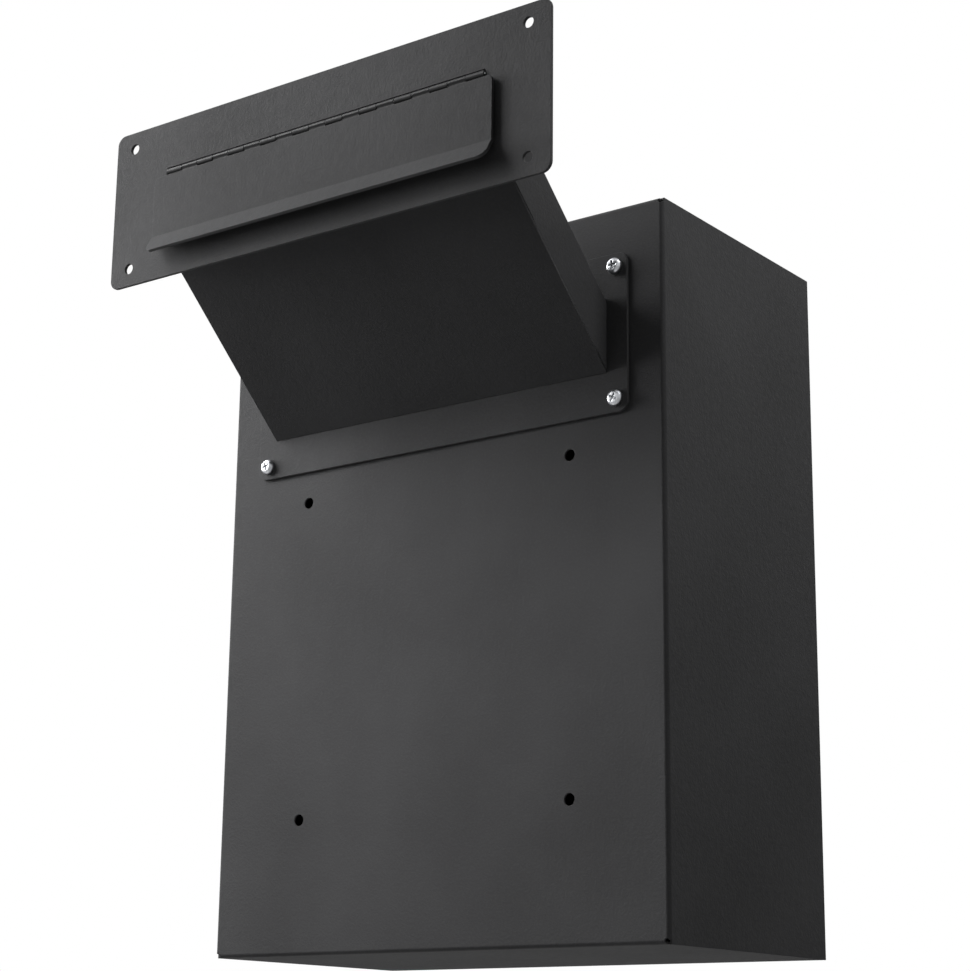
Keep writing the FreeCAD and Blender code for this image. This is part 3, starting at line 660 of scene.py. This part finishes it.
def metal(name, colour, dull, rough, wear, scratches=None, depth=0.004 * MM):
    """A metal whose tint and roughness wander a little, with scratches drawn along the axes that
    are stretched least."""
    material, tree, shader = new_material(name, Metallic=1.0)
    place = object_place(tree)
    cloud = noise(tree, place, 180.0, detail=3.0)
    grain = noise(tree, object_place(tree, scratches or (1, 1, 1)), 2200.0, detail=2.0, rough=0.6)
    tint = blend(tree, remap(tree, cloud, 0.3, 0.7, 0.0, 1.0), colour, dull)
    tint = blend(tree, remap(tree, grain, 0.5, 0.8, 0.0, 0.35), tint, dull)
    feed(tree, shader.inputs["Base Color"], tint)
    feed(tree, shader.inputs["Roughness"], remap(tree, cloud, 0.3, 0.7, rough, rough + wear))
    feed(tree, shader.inputs["Normal"], bump(tree, grain, depth))
    return material


bright_zinc = metal(
    "bright_zinc", colour=(0.62, 0.63, 0.65), dull=(0.34, 0.35, 0.37), rough=0.24, wear=0.16
)

recess = cross_outline(length=5.4 * MM, width=1.15 * MM, radius=0.3 * MM)
head = (HEAD_RADIUS, HEAD_HEIGHT, HEAD_EDGE)
shank = (SHANK_RADIUS, SHANK_LENGTH, THREAD_PITCH)
one = screw(head, shank, recess, RECESS_DEPTH, RECESS_TAPER)
angles = np.radians([18, 62, 5, 38])
parts = [set_in(one, place, chute_low[1], angle) for place, angle in zip(flange_screws, angles)]
piece = make_object("pan_head_screws", *join(parts))
finish_piece(piece, "box", "flange_screws", bright_zinc)

# Washers and nuts of the flange screws, in zinc plate: turned washers with broken edges, and
# hexagon nuts whose corners are cut by a cone at both ends.

WASHER_RADIUS = 5.0 * MM
NUT_ACROSS = 8.0 * MM
BORE = 2.55 * MM

zinc_plate = metal(
    "zinc_plate", colour=(0.66, 0.67, 0.69), dull=(0.46, 0.47, 0.49), rough=0.3, wear=0.14
)


def ring(inner, outer, low, high, edge=0.15 * MM):
    """A flat ring: the closed profile is a rectangle with small arcs at its corners."""
    profile = outline([(inner, low), (outer, low), (outer, high), (inner, high)], edge, 4)
    return turned(*rows(profile), closed=True)


def hexagon_nut(across, bore, low, high):
    """A nut with a corner at angle 0: its side is at across / 2 / cos of the angle from the nearest
    flat's middle, or on the bevel's cone where that is nearer to the axis. The cone leaves the end
    at 0.96 of the flats' distance and leans 30 degrees. The bore has a small lead at both ends."""
    angle = np.arange(AROUND) * 2 * np.pi / AROUND
    side = across / 2 / np.cos(angle % (np.pi / 3) - np.pi / 6)[None, :]
    drop = np.linspace(0, 0.16 * across / 2, 5)[:, None]
    cone = 0.96 * across / 2 + drop / np.tan(np.radians(30))
    bevel = np.minimum(side, cone)
    middle = np.full((1, AROUND), bore)
    lead = 0.3 * MM
    radius = [middle, middle + lead, bevel, side, bevel[::-1], middle + lead, middle]
    level = np.ones((1, AROUND))
    height = [(low + lead) * level, low * level, (low + drop) * level, (low + high) / 2 * level]
    height += [(high - drop[::-1]) * level, high * level, (high - lead) * level]
    return turned(np.concatenate(radius), np.concatenate(height), closed=True)


low, high, _ = span("flange_washers")
washer = ring(BORE, WASHER_RADIUS, 0, high[1] - low[1])
parts = [set_in(washer, place, low[1]) for place in flange_screws]
piece = make_object("flat_washers", *join(parts))
finish_piece(piece, "box", "flange_washers", zinc_plate)

low, high, _ = span("flange_nuts")
nut = hexagon_nut(NUT_ACROSS, BORE, 0, high[1] - low[1])
parts = [set_in(nut, place, low[1]) for place in flange_screws]
piece = make_object("hexagon_nuts", *join(parts))
finish_piece(piece, "box", "flange_nuts", zinc_plate)

# Faceplate: 2 mm sheet on the outside of the wall, with rounded corners, the letter slot, and a
# screw hole near each corner.

PLATE_CORNER = 6 * MM
SLOT_CLEARANCE = 0.4 * MM
SLOT_LIP = 0.7 * MM
PIN_RADIUS = 1.0 * MM
KNUCKLE_RADIUS = 2.1 * MM
SLEEVE_SHEET = 1.5 * MM
SLEEVE_GAP = 0.4 * MM
SLOT_CORNER = 0.5 * MM

plate_low, plate_high, plate_middle = span("faceplate")
pin_low, pin_high, pin_middle = span("flap_hinge_pin")
plate_screws = next(mount for mount in record["mounts"] if mount["name"] == "faceplate_screws")
plate_half = [plate_screws["dims"][f"spacing_{way}_mm"] * MM / 2 for way in "xy"]
slot_half = pin_high[0] + SLOT_CLEARANCE
sleeve_wall = CHUTE_SHEET + SLEEVE_GAP
sleeve_floor = floor_low[2] + np.tan(CHUTE_ANGLE) * (-plate_high[1] - FLANGE_SHEET)
sleeve_floor += (sleeve_wall + SLEEVE_SHEET) / np.cos(CHUTE_ANGLE)
slot_low, slot_high = sleeve_floor + SLOT_LIP, pin_middle[2] + KNUCKLE_RADIUS + SLOT_CLEARANCE
slot_place = (0, (slot_low + slot_high) / 2 - plate_middle[2])
slot = rectangle(2 * slot_half, slot_high - slot_low, SLOT_CORNER, slot_place)
plate_size = plate_high - plate_low
loops = [rectangle(*plate_size[[0, 2]], PLATE_CORNER), slot[::-1]]
hole_radius = plate_screws["dims"]["hole_r_mm"] * MM
loops += [circle(hole_radius, place)[::-1] for place in four((0, 0), plate_half)]
fold = flat_fold(plate_middle[[0, 2]], plate_low[1])
piece = sheet("front_plate", loops, plate_size[1], fold)
finish_piece(piece, "faceplate", "faceplate")

# Chute sleeve: 1.5 mm sheet folded into a slanted tube, with its seam under the floor's middle.
# It is welded to the back of the faceplate, slides in the chute, and is cut back over the hinge.

SLEEVE_BEND = 1.8 * MM
KNUCKLE_CUT = 1.8 * MM

low, high, _ = span("chute_sleeve")
half, bottom, top = high[0], sleeve_wall, CHUTE_HEIGHT - sleeve_wall
sleeve_line = [(0, bottom), (-half, bottom), (-half, top), (half, top), (half, bottom), (0, bottom)]
fold, lines, length = chute_fold(sleeve_line[::-1], SLEEVE_BEND)
near, far = -high[1], -low[1]
left, right = SEAM / 2, length - SEAM / 2
cut_left, cut_right = length / 2 - slot_half, length / 2 + slot_half
loop = [(left, near), (right, near), (right, far), (cut_right, far)]
loop += [(cut_right, far - KNUCKLE_CUT), (cut_left, far - KNUCKLE_CUT)]
loop += [(cut_left, far), (left, far)]
piece = sheet("sliding_sleeve", [outline(loop)], SLEEVE_SHEET, fold, lines)
finish_piece(piece, "faceplate", "chute_sleeve")

# Continuous hinges of the flap and of the door: each leaf is 1 mm sheet cut like a comb, with its
# teeth curled round the pin between those of the other leaf. Blackened after they are rolled.

LEAF_SHEET = 1.0 * MM
LEAF_REACH = 14 * MM
NECK = 0.3 * MM
KNUCKLE_PITCH = 12.7 * MM
KNUCKLE_GAP = 0.3 * MM
CURL_END = np.radians(298)
CURL_STEPS = 20
LEAF_RIM = 0.12 * MM
FLAP_SWAGE = 0.8 * MM

hinge_black = powder_coat(
    "hinge_black",
    dark=(0.028, 0.028, 0.029),
    light=(0.040, 0.040, 0.041),
    # rim is the pale colour of the pebble flecks and of the painted rim highlight.
    rim=(0.085, 0.085, 0.087),
    pebble_size=0.6 * MM,
    pebble_depth=0.02 * MM,
    rough=0.42,
)
steel = dict(colour=(0.62, 0.62, 0.63), dull=(0.42, 0.42, 0.43), rough=0.28, wear=0.12)
steel["depth"] = 0.006 * MM
pin_steel = metal("pin_steel", scratches=(0.05, 1, 1), **steel)
upright_steel = metal("upright_pin_steel", scratches=(1, 1, 0.05), **steel)


def hinge_leaf(name, knuckles, first, place, swage=0.0):
    """A leaf beside its pin. Across the pin, the flat runs from the leaf's end until it is level
    with the pin, and then turns round it: at angle a the sheet's outside is at radius r * (cos a,
    sin a). A swaged leaf dips by swage * (ease(d / 0.8r) - ease((d - 1.7r) / 0.8r)) at a distance
    d from the pin, where ease(t) = 3t^2 - 2t^3. place turns distances along the pin, towards the
    leaf's outside and up from the leaf into places."""
    straight = LEAF_REACH
    curl = np.linspace(0, CURL_END, CURL_STEPS + 1)
    length = straight + KNUCKLE_RADIUS * CURL_END
    half = knuckles * KNUCKLE_PITCH / 2

    def ease(distance):
        share = np.clip(distance / (0.8 * KNUCKLE_RADIUS), 0, 1)
        return 3 * share**2 - 2 * share**3

    def fold(u, v, w):
        angle = np.maximum(v - straight, 0) / KNUCKLE_RADIUS
        radius = KNUCKLE_RADIUS - w
        beside = np.maximum(straight - v, 0)
        dip = swage * (ease(beside) - ease(beside - 1.7 * KNUCKLE_RADIUS))
        outward = radius * np.cos(angle) - dip
        up = np.minimum(v - straight, 0) + radius * np.sin(angle)
        return place(u, outward, up)

    neck = straight - KNUCKLE_RADIUS - NECK
    number = np.arange(first, knuckles, 2)[::-1]
    right = (number + 1) * KNUCKLE_PITCH - half - KNUCKLE_GAP / 2
    left = number * KNUCKLE_PITCH - half + KNUCKLE_GAP / 2
    root, tip = np.full(len(number), neck), np.full(len(number), length)
    teeth = np.stack([right, root, right, tip, left, tip, left, root]).T.reshape(-1, 2)
    ends = np.array([(-half, neck), (-half, 0), (half, 0), (half, neck)])
    loop = np.concatenate([ends, teeth])
    keep = np.linalg.norm(loop - np.roll(loop, 1, axis=0), axis=1) > 0.01 * MM
    lines = [(1, straight + KNUCKLE_RADIUS * angle) for angle in curl]
    if swage:
        lines += [(1, straight - KNUCKLE_RADIUS * share) for share in np.arange(0.1, 2.7, 0.2)]
    return sheet(name, [loop[keep]], LEAF_SHEET, fold, lines, rim=LEAF_RIM)


def pin_rod(radius, half):
    """A pin about its own middle: a rod whose ends are rounded over."""
    profile = [(0, -half), (0.7 * radius, -half), (radius, -half + 0.3 * radius)]
    profile = profile + [(r, -h) for r, h in profile[::-1]]
    return turned(*rows(profile, 24))


def flap_place(side):
    """Places on the flap's hinge, from the pin: a leaf hangs down from it with its outside to the
    street, or is turned half round, and stands up from it with its outside to the wall."""

    def place(along, outward, up):
        return pin_middle + np.column_stack([along, -side * outward, side * up])

    return place


flap_knuckles = int(round((pin_high[0] - pin_low[0]) / KNUCKLE_PITCH))
piece = hinge_leaf("flap_hinge_upper_leaf", flap_knuckles, 0, flap_place(-1))
finish_piece(piece, "faceplate", "flap_hinge_fixed_leaf", hinge_black)
piece = hinge_leaf("flap_hinge_lower_leaf", flap_knuckles, 1, flap_place(1), FLAP_SWAGE)
finish_piece(piece, "flap", "flap_hinge_moving_leaf", hinge_black)
points, faces = pin_rod(PIN_RADIUS, (pin_high[0] - pin_low[0]) / 2)
piece = make_object("flap_pin", pin_middle + points[:, [2, 0, 1]], faces)
finish_piece(piece, "faceplate", "flap_hinge_pin", pin_steel)

door_pin_low, door_pin_high, door_pin = span("door_hinge_pin")


def door_place(side):
    """Places on the door's hinge: its pin stands upright, its leaves face the room side, and a leaf
    lies towards the frame or the door."""

    def place(along, outward, up):
        return door_pin + np.column_stack([side * outward, up, along])

    return place


door_knuckles = int(round((door_pin_high[2] - door_pin_low[2]) / KNUCKLE_PITCH))
piece = hinge_leaf("door_hinge_box_side", door_knuckles, 0, door_place(-1))
finish_piece(piece, "box", "door_hinge_frame_leaf", hinge_black)
piece = hinge_leaf("door_hinge_door_side", door_knuckles, 1, door_place(1))
finish_piece(piece, "door", "door_hinge_door_leaf", hinge_black)
points, faces = pin_rod(PIN_RADIUS, (door_pin_high[2] - door_pin_low[2]) / 2)
piece = make_object("door_pin", door_pin + points, faces)
finish_piece(piece, "box", "door_hinge_pin", upright_steel)

# Flap: 2 mm sheet over the letter slot, with its lower edge bent outward as a pull, and welded to
# the front of the hinge's lower leaf.

FLAP_SHEET = 2 * MM
FLAP_BEND = 1.5 * MM
LIP_LENGTH = 12.8 * MM
LIP_ANGLE = np.radians(31)
FLAP_BEND_DROP = 42.2 * MM
TOP_CORNER = 3.5 * MM
LIP_CORNER = 5.5 * MM
CORNER_STEPS = 10

low, high, _ = span("flap")
front, top = pin_middle[1] - KNUCKLE_RADIUS - FLAP_SHEET, high[2]
bend_level = pin_middle[2] - FLAP_BEND_DROP
lip_end = (front - LIP_LENGTH * np.sin(LIP_ANGLE), bend_level - LIP_LENGTH * np.cos(LIP_ANGLE))
flap_line = bent_line([(front, top), (front, bend_level), lip_end], FLAP_BEND)


def flap_fold(u, v, w):
    """The flap: v runs down its front from the top edge, round the bend and along the lip, and the
    depth runs square to it, towards the wall."""
    y, z = offset_line(v, w, *flap_line)
    return np.column_stack([u, y, z])


along = flap_line[2]
corners = [(low[0], 0), (high[0], 0), (high[0], along[-1]), (low[0], along[-1])]
loop = outline(corners, [TOP_CORNER, TOP_CORNER, LIP_CORNER, LIP_CORNER], CORNER_STEPS)
piece = sheet("letter_flap", [loop], FLAP_SHEET, flap_fold, [(1, level) for level in along[1:-1]])
finish_piece(piece, "flap", "flap")

# Door: a pan of 1.5 mm sheet on the room side, folded on all four sides, with the hole for its
# lock. It closes against the ring and swings on the upright hinge.

DOOR_BEND = 2 * MM
DOOR_SHEET = 1.5 * MM
DOOR_RELIEF = 0.8 * MM
HOUSING_RADIUS = 9 * MM
HOUSING_CLEARANCE = 0.2 * MM

door_low, door_high, door_middle = span("door_panel")
lock_low, _, lock = span("lock_housing")
door_width, door_depth, door_height = door_high - door_low
fold, lines = pan_fold(door_middle[[0, 2]], door_width, door_height, DOOR_BEND, door_high[1], -1)
loops = [pan_outline(door_width, door_height, door_depth, DOOR_BEND, DOOR_SHEET, DOOR_RELIEF)]
lock_hole = circle(HOUSING_RADIUS + HOUSING_CLEARANCE, (lock - door_middle)[[0, 2]], AROUND)
loops += [lock_hole[::-1]]
piece = sheet("door_pan", loops, DOOR_SHEET, fold, lines)
finish_piece(piece, "door", "door_panel")

# Cam lock housing: satin chrome, with two flats on its barrel and a flange whose edge is rounded
# by a quarter circle. A hexagon nut holds it behind the door.

FLANGE_RADIUS = 12 * MM
FLANGE_DOME = 2.4 * MM
PLUG_RADIUS = 6 * MM
PLUG_GAP = 0.05 * MM
HOUSING_FLAT = 16 * MM
BORE_LEAD = 0.25 * MM
BARREL_LEAD = 0.3 * MM
FLANGE_EDGE = 0.1 * MM
LOCK_NUT_ACROSS = 22 * MM
LOCK_NUT_GAP = 0.05 * MM

satin_chrome = metal(
    "satin_chrome",
    colour=(0.78, 0.78, 0.79),
    dull=(0.62, 0.62, 0.63),
    rough=0.14,
    wear=0.1,
    depth=0.002 * MM,
)


def plain_solid(loops, low, high):
    """A straight solid between two heights, from its outline and its holes."""
    flat, triangles = fill(loops)
    ends = ((low, triangles[:, ::-1]), (high, triangles))
    caps = [(np.column_stack([flat, np.full(len(flat), level)]), side) for level, side in ends]
    walls = []
    for loop in loops:
        count, index = len(loop), np.arange(len(loop))
        rims = [np.column_stack([loop, np.full(count, level)]) for level in (low, high)]
        points = np.concatenate(rims)
        ahead = np.roll(index, -1)
        walls.append((points, np.stack([index, ahead, count + ahead, count + index], axis=1)))
    return join(caps + walls)


lock_place = lock[[0, 2]]
face_y = door_high[1]
barrel_end = lock_low[1] - face_y
angle = np.arange(AROUND) * 2 * np.pi / AROUND
flats = HOUSING_FLAT / 2 / np.maximum(abs(np.cos(angle)), TINY)
barrel = np.minimum(HOUSING_RADIUS, flats)[None, :]
edge_radius = FLANGE_DOME / 2
turn = np.linspace(np.pi / 2, 0, 6)
dome = [(edge_radius * np.sin(t), edge_radius * np.cos(t)) for t in turn]
bore = PLUG_RADIUS + PLUG_GAP
flange = [(FLANGE_RADIUS, FLANGE_EDGE)]
flange += [(FLANGE_RADIUS - edge_radius + out, edge_radius + up) for out, up in dome]
flange += [(bore + BORE_LEAD, FLANGE_DOME), (bore, FLANGE_DOME - BORE_LEAD)]
flange_radius, flange_height = rows(flange)
ones = np.ones((1, AROUND))
radius = [bore * ones, barrel - BARREL_LEAD, barrel, barrel, (FLANGE_RADIUS - FLANGE_EDGE) * ones]
height = [barrel_end * ones, barrel_end * ones, (barrel_end + BARREL_LEAD) * ones]
height += [0 * ones, 0 * ones]
barrel_rows = np.concatenate(radius + [flange_radius]), np.concatenate(height + [flange_height])
housing = turned(*barrel_rows, closed=True)
piece = make_object("lock_barrel", *set_in(housing, lock_place, face_y))
finish_piece(piece, "door", "lock_housing", satin_chrome)

low, high, _ = span("lock_nut")
nut = hexagon_nut(LOCK_NUT_ACROSS, HOUSING_RADIUS + LOCK_NUT_GAP, 0, high[1] - low[1])
piece = make_object("lock_back_nut", *set_in(nut, lock_place, low[1]))
finish_piece(piece, "door", "lock_nut", zinc_plate)

# Lock plug: it turns in the housing, with a broken front edge, the keyway cut into its front, and
# a square tail that carries the cam.

KEYWAY_WIDTH = 1.6 * MM
KEYWAY_HEIGHT = 8 * MM
KEYWAY_DEPTH = 7 * MM
KEYWAY_CORNER = 0.3 * MM
KEYWAY_TAPER = 0.02 * MM
PLUG_EDGE = 0.3 * MM
TAIL = 7 * MM
TAIL_CORNER = 0.4 * MM
TAIL_HOLE = 2.05 * MM

_, plug_high, _ = span("lock_plug")
cam_low, cam_high, _ = span("lock_cam")
front = plug_high[1] - cam_high[1]
face = 0.94 * PLUG_RADIUS
keyway = rectangle(KEYWAY_WIDTH, KEYWAY_HEIGHT, KEYWAY_CORNER)


def plug_face(radius):
    """The plug's front is level at every radius."""
    return np.full(np.shape(radius), front)


parts = head_top(plug_face, face, keyway, KEYWAY_DEPTH, KEYWAY_TAPER)
side = [(face, front), (PLUG_RADIUS, front - PLUG_EDGE), (PLUG_RADIUS, 0), (0, 0)]
parts += [turned(*rows(side))]
tail = [rectangle(TAIL, TAIL, TAIL_CORNER), circle(TAIL_HOLE, count=24)[::-1]]
parts += [plain_solid(tail, cam_low[1] - cam_high[1], 0)]
piece = make_object("lock_core", *set_in(join(parts), lock_place, cam_high[1]))
finish_piece(piece, "lock", "lock_plug", satin_chrome)

# Cam: a zinc plated arm of 2 mm sheet with a square hole for the tail, under a washer and a
# slotted screw that goes into the plug. It hangs down while the lock is open, and a quarter turn
# takes it behind the ring.

CAM_CORNER = 3.5 * MM
CAM_CLEARANCE = 0.1 * MM
CAM_SCREW_ANGLE = np.radians(25)
CAM_SCREW_HEAD = (4 * MM, 2.5 * MM, 1.25 * MM)
CAM_SCREW_SHANK = (2 * MM, 9 * MM, 0.7 * MM)
SLOT_DEPTH = 1.25 * MM
SLOT_TAPER = 0.04 * MM

middle = (cam_low + cam_high) / 2
loop = rectangle(*(cam_high - cam_low)[[0, 2]], CAM_CORNER)
hole_side = TAIL + CAM_CLEARANCE
hole = rectangle(hole_side, hole_side, TAIL_CORNER, lock_place - middle[[0, 2]])
fold = flat_fold(middle[[0, 2]], cam_low[1])
piece = sheet("cam_arm", [loop, hole[::-1]], cam_high[1] - cam_low[1], fold)
finish_piece(piece, "lock", "lock_cam", zinc_plate)

low, high, _ = span("cam_washer")
washer = ring(TAIL_HOLE, (high[0] - low[0]) / 2, 0, high[1] - low[1])
piece = make_object("cam_flat_washer", *set_in(washer, lock_place, low[1]))
finish_piece(piece, "lock", "cam_washer", zinc_plate)

slot = rectangle(width=7.2 * MM, height=1.1 * MM, radius=0.15 * MM)
one = screw(CAM_SCREW_HEAD, CAM_SCREW_SHANK, slot, SLOT_DEPTH, SLOT_TAPER, reach=0.93)
piece = make_object("cam_slotted_screw", *set_in(one, lock_place, low[1], CAM_SCREW_ANGLE))
finish_piece(piece, "lock", "cam_screw", zinc_plate)

# Room for the object: a pale floor well below it, soft lamps, and a surround that shows white but
# gives only a faint fill. The floor's glow shows in the same way and lights nothing.

FLOOR_LEVEL = -0.62
FLOOR_REACH = 6.0
FLOOR_COLOUR = (0.32, 0.32, 0.32, 1)
FLOOR_GLOW = 0.4
WHITE = (1, 1, 1, 1)
FILL_LIGHT = 0.06
AIM = (0, 0, 0.05)


def seen_directly(tree):
    """1 for the rays of the camera, of gloss and of clear materials, and 0 for all others."""
    path = tree.nodes.new("ShaderNodeLightPath")
    seen = path.outputs["Is Camera Ray"]
    for ray in ("Is Glossy Ray", "Is Transmission Ray"):
        either = tree.nodes.new("ShaderNodeMath")
        either.operation = "MAXIMUM"
        tree.links.new(seen, either.inputs[0])
        tree.links.new(path.outputs[ray], either.inputs[1])
        seen = either.outputs[0]
    return seen


floor = bpy.data.meshes.new("floor")
corners = [(x, y, FLOOR_LEVEL) for x, y in four((0, 0), (FLOOR_REACH, FLOOR_REACH))]
floor.from_pydata(corners, [], [(0, 1, 2, 3)])
floor_object = bpy.data.objects.new("floor", floor)
bpy.context.scene.collection.objects.link(floor_object)
material, tree, shader = new_material("pale_floor", Roughness=0.9, Specular_IOR_Level=0.1)
shader.inputs["Base Color"].default_value = FLOOR_COLOUR
shader.inputs["Emission Color"].default_value = WHITE
glow = remap(tree, seen_directly(tree), 0.0, 1.0, 0.0, FLOOR_GLOW)
tree.links.new(glow, shader.inputs["Emission Strength"])
floor.materials.append(material)


def lamp(name, place, size, power):
    """A square soft lamp at a place, facing the object, with its size and its watts."""
    data = bpy.data.lights.new(name, "AREA")
    data.shape = "SQUARE"
    data.size = size
    data.energy = power
    light = bpy.data.objects.new(name, data)
    light.location = place
    light.rotation_euler = (Vector(AIM) - Vector(place)).to_track_quat("-Z", "Y").to_euler()
    bpy.context.scene.collection.objects.link(light)


lamp("grazing", (-1.3, -0.38, 0.45), 0.5, 17.5)
lamp("high", (-1.0, -0.7, 1.1), 0.6, 24)
lamp("far", (-1.96, -1.03, 1.03), 1.0, 14)
lamp("left", (-0.8, -0.35, 0.35), 0.4, 3.2)
lamp("beside", (0.55, 0.05, 0.75), 0.25, 3.2)
lamp("room_side", (0.1, 2.6, 1.2), 1.2, 24)

world = bpy.data.worlds.new("studio")
bpy.context.scene.world = world
world.use_nodes = True
tree = world.node_tree
background = next(node for node in tree.nodes if node.type == "BACKGROUND")
background.inputs["Color"].default_value = WHITE
strength = remap(tree, seen_directly(tree), 0.0, 1.0, FILL_LIGHT, 1.0)
tree.links.new(strength, background.inputs["Strength"])

scene = bpy.context.scene
scene.view_settings.view_transform = "Standard"

# Camera: a long lens on the street side, below the box's middle and to its right, which looks up
# at it. Its upward direction is squared to its sideways one.

CAMERA_PLACE = (0.79547, -1.01843, -0.24883)
CAMERA_ACROSS = (0.80416, 0.59431, 0.0108)
CAMERA_UP = (0.14469, -0.21334, 0.9662)
SENSOR = 36
LENS = 82.833368

across = Vector(CAMERA_ACROSS).normalized()
upward = Vector(CAMERA_UP)
upward = (upward - across * upward.dot(across)).normalized()
turn = Matrix((across, upward, across.cross(upward))).transposed()
camera_data = bpy.data.cameras.new("camera")
camera_data.sensor_width = SENSOR
camera_data.lens = LENS
camera = bpy.data.objects.new("camera", camera_data)
bpy.context.scene.collection.objects.link(camera)
camera.matrix_world = Matrix.Translation(CAMERA_PLACE) @ turn.to_4x4()
scene.camera = camera

bpy.context.view_layer.update()
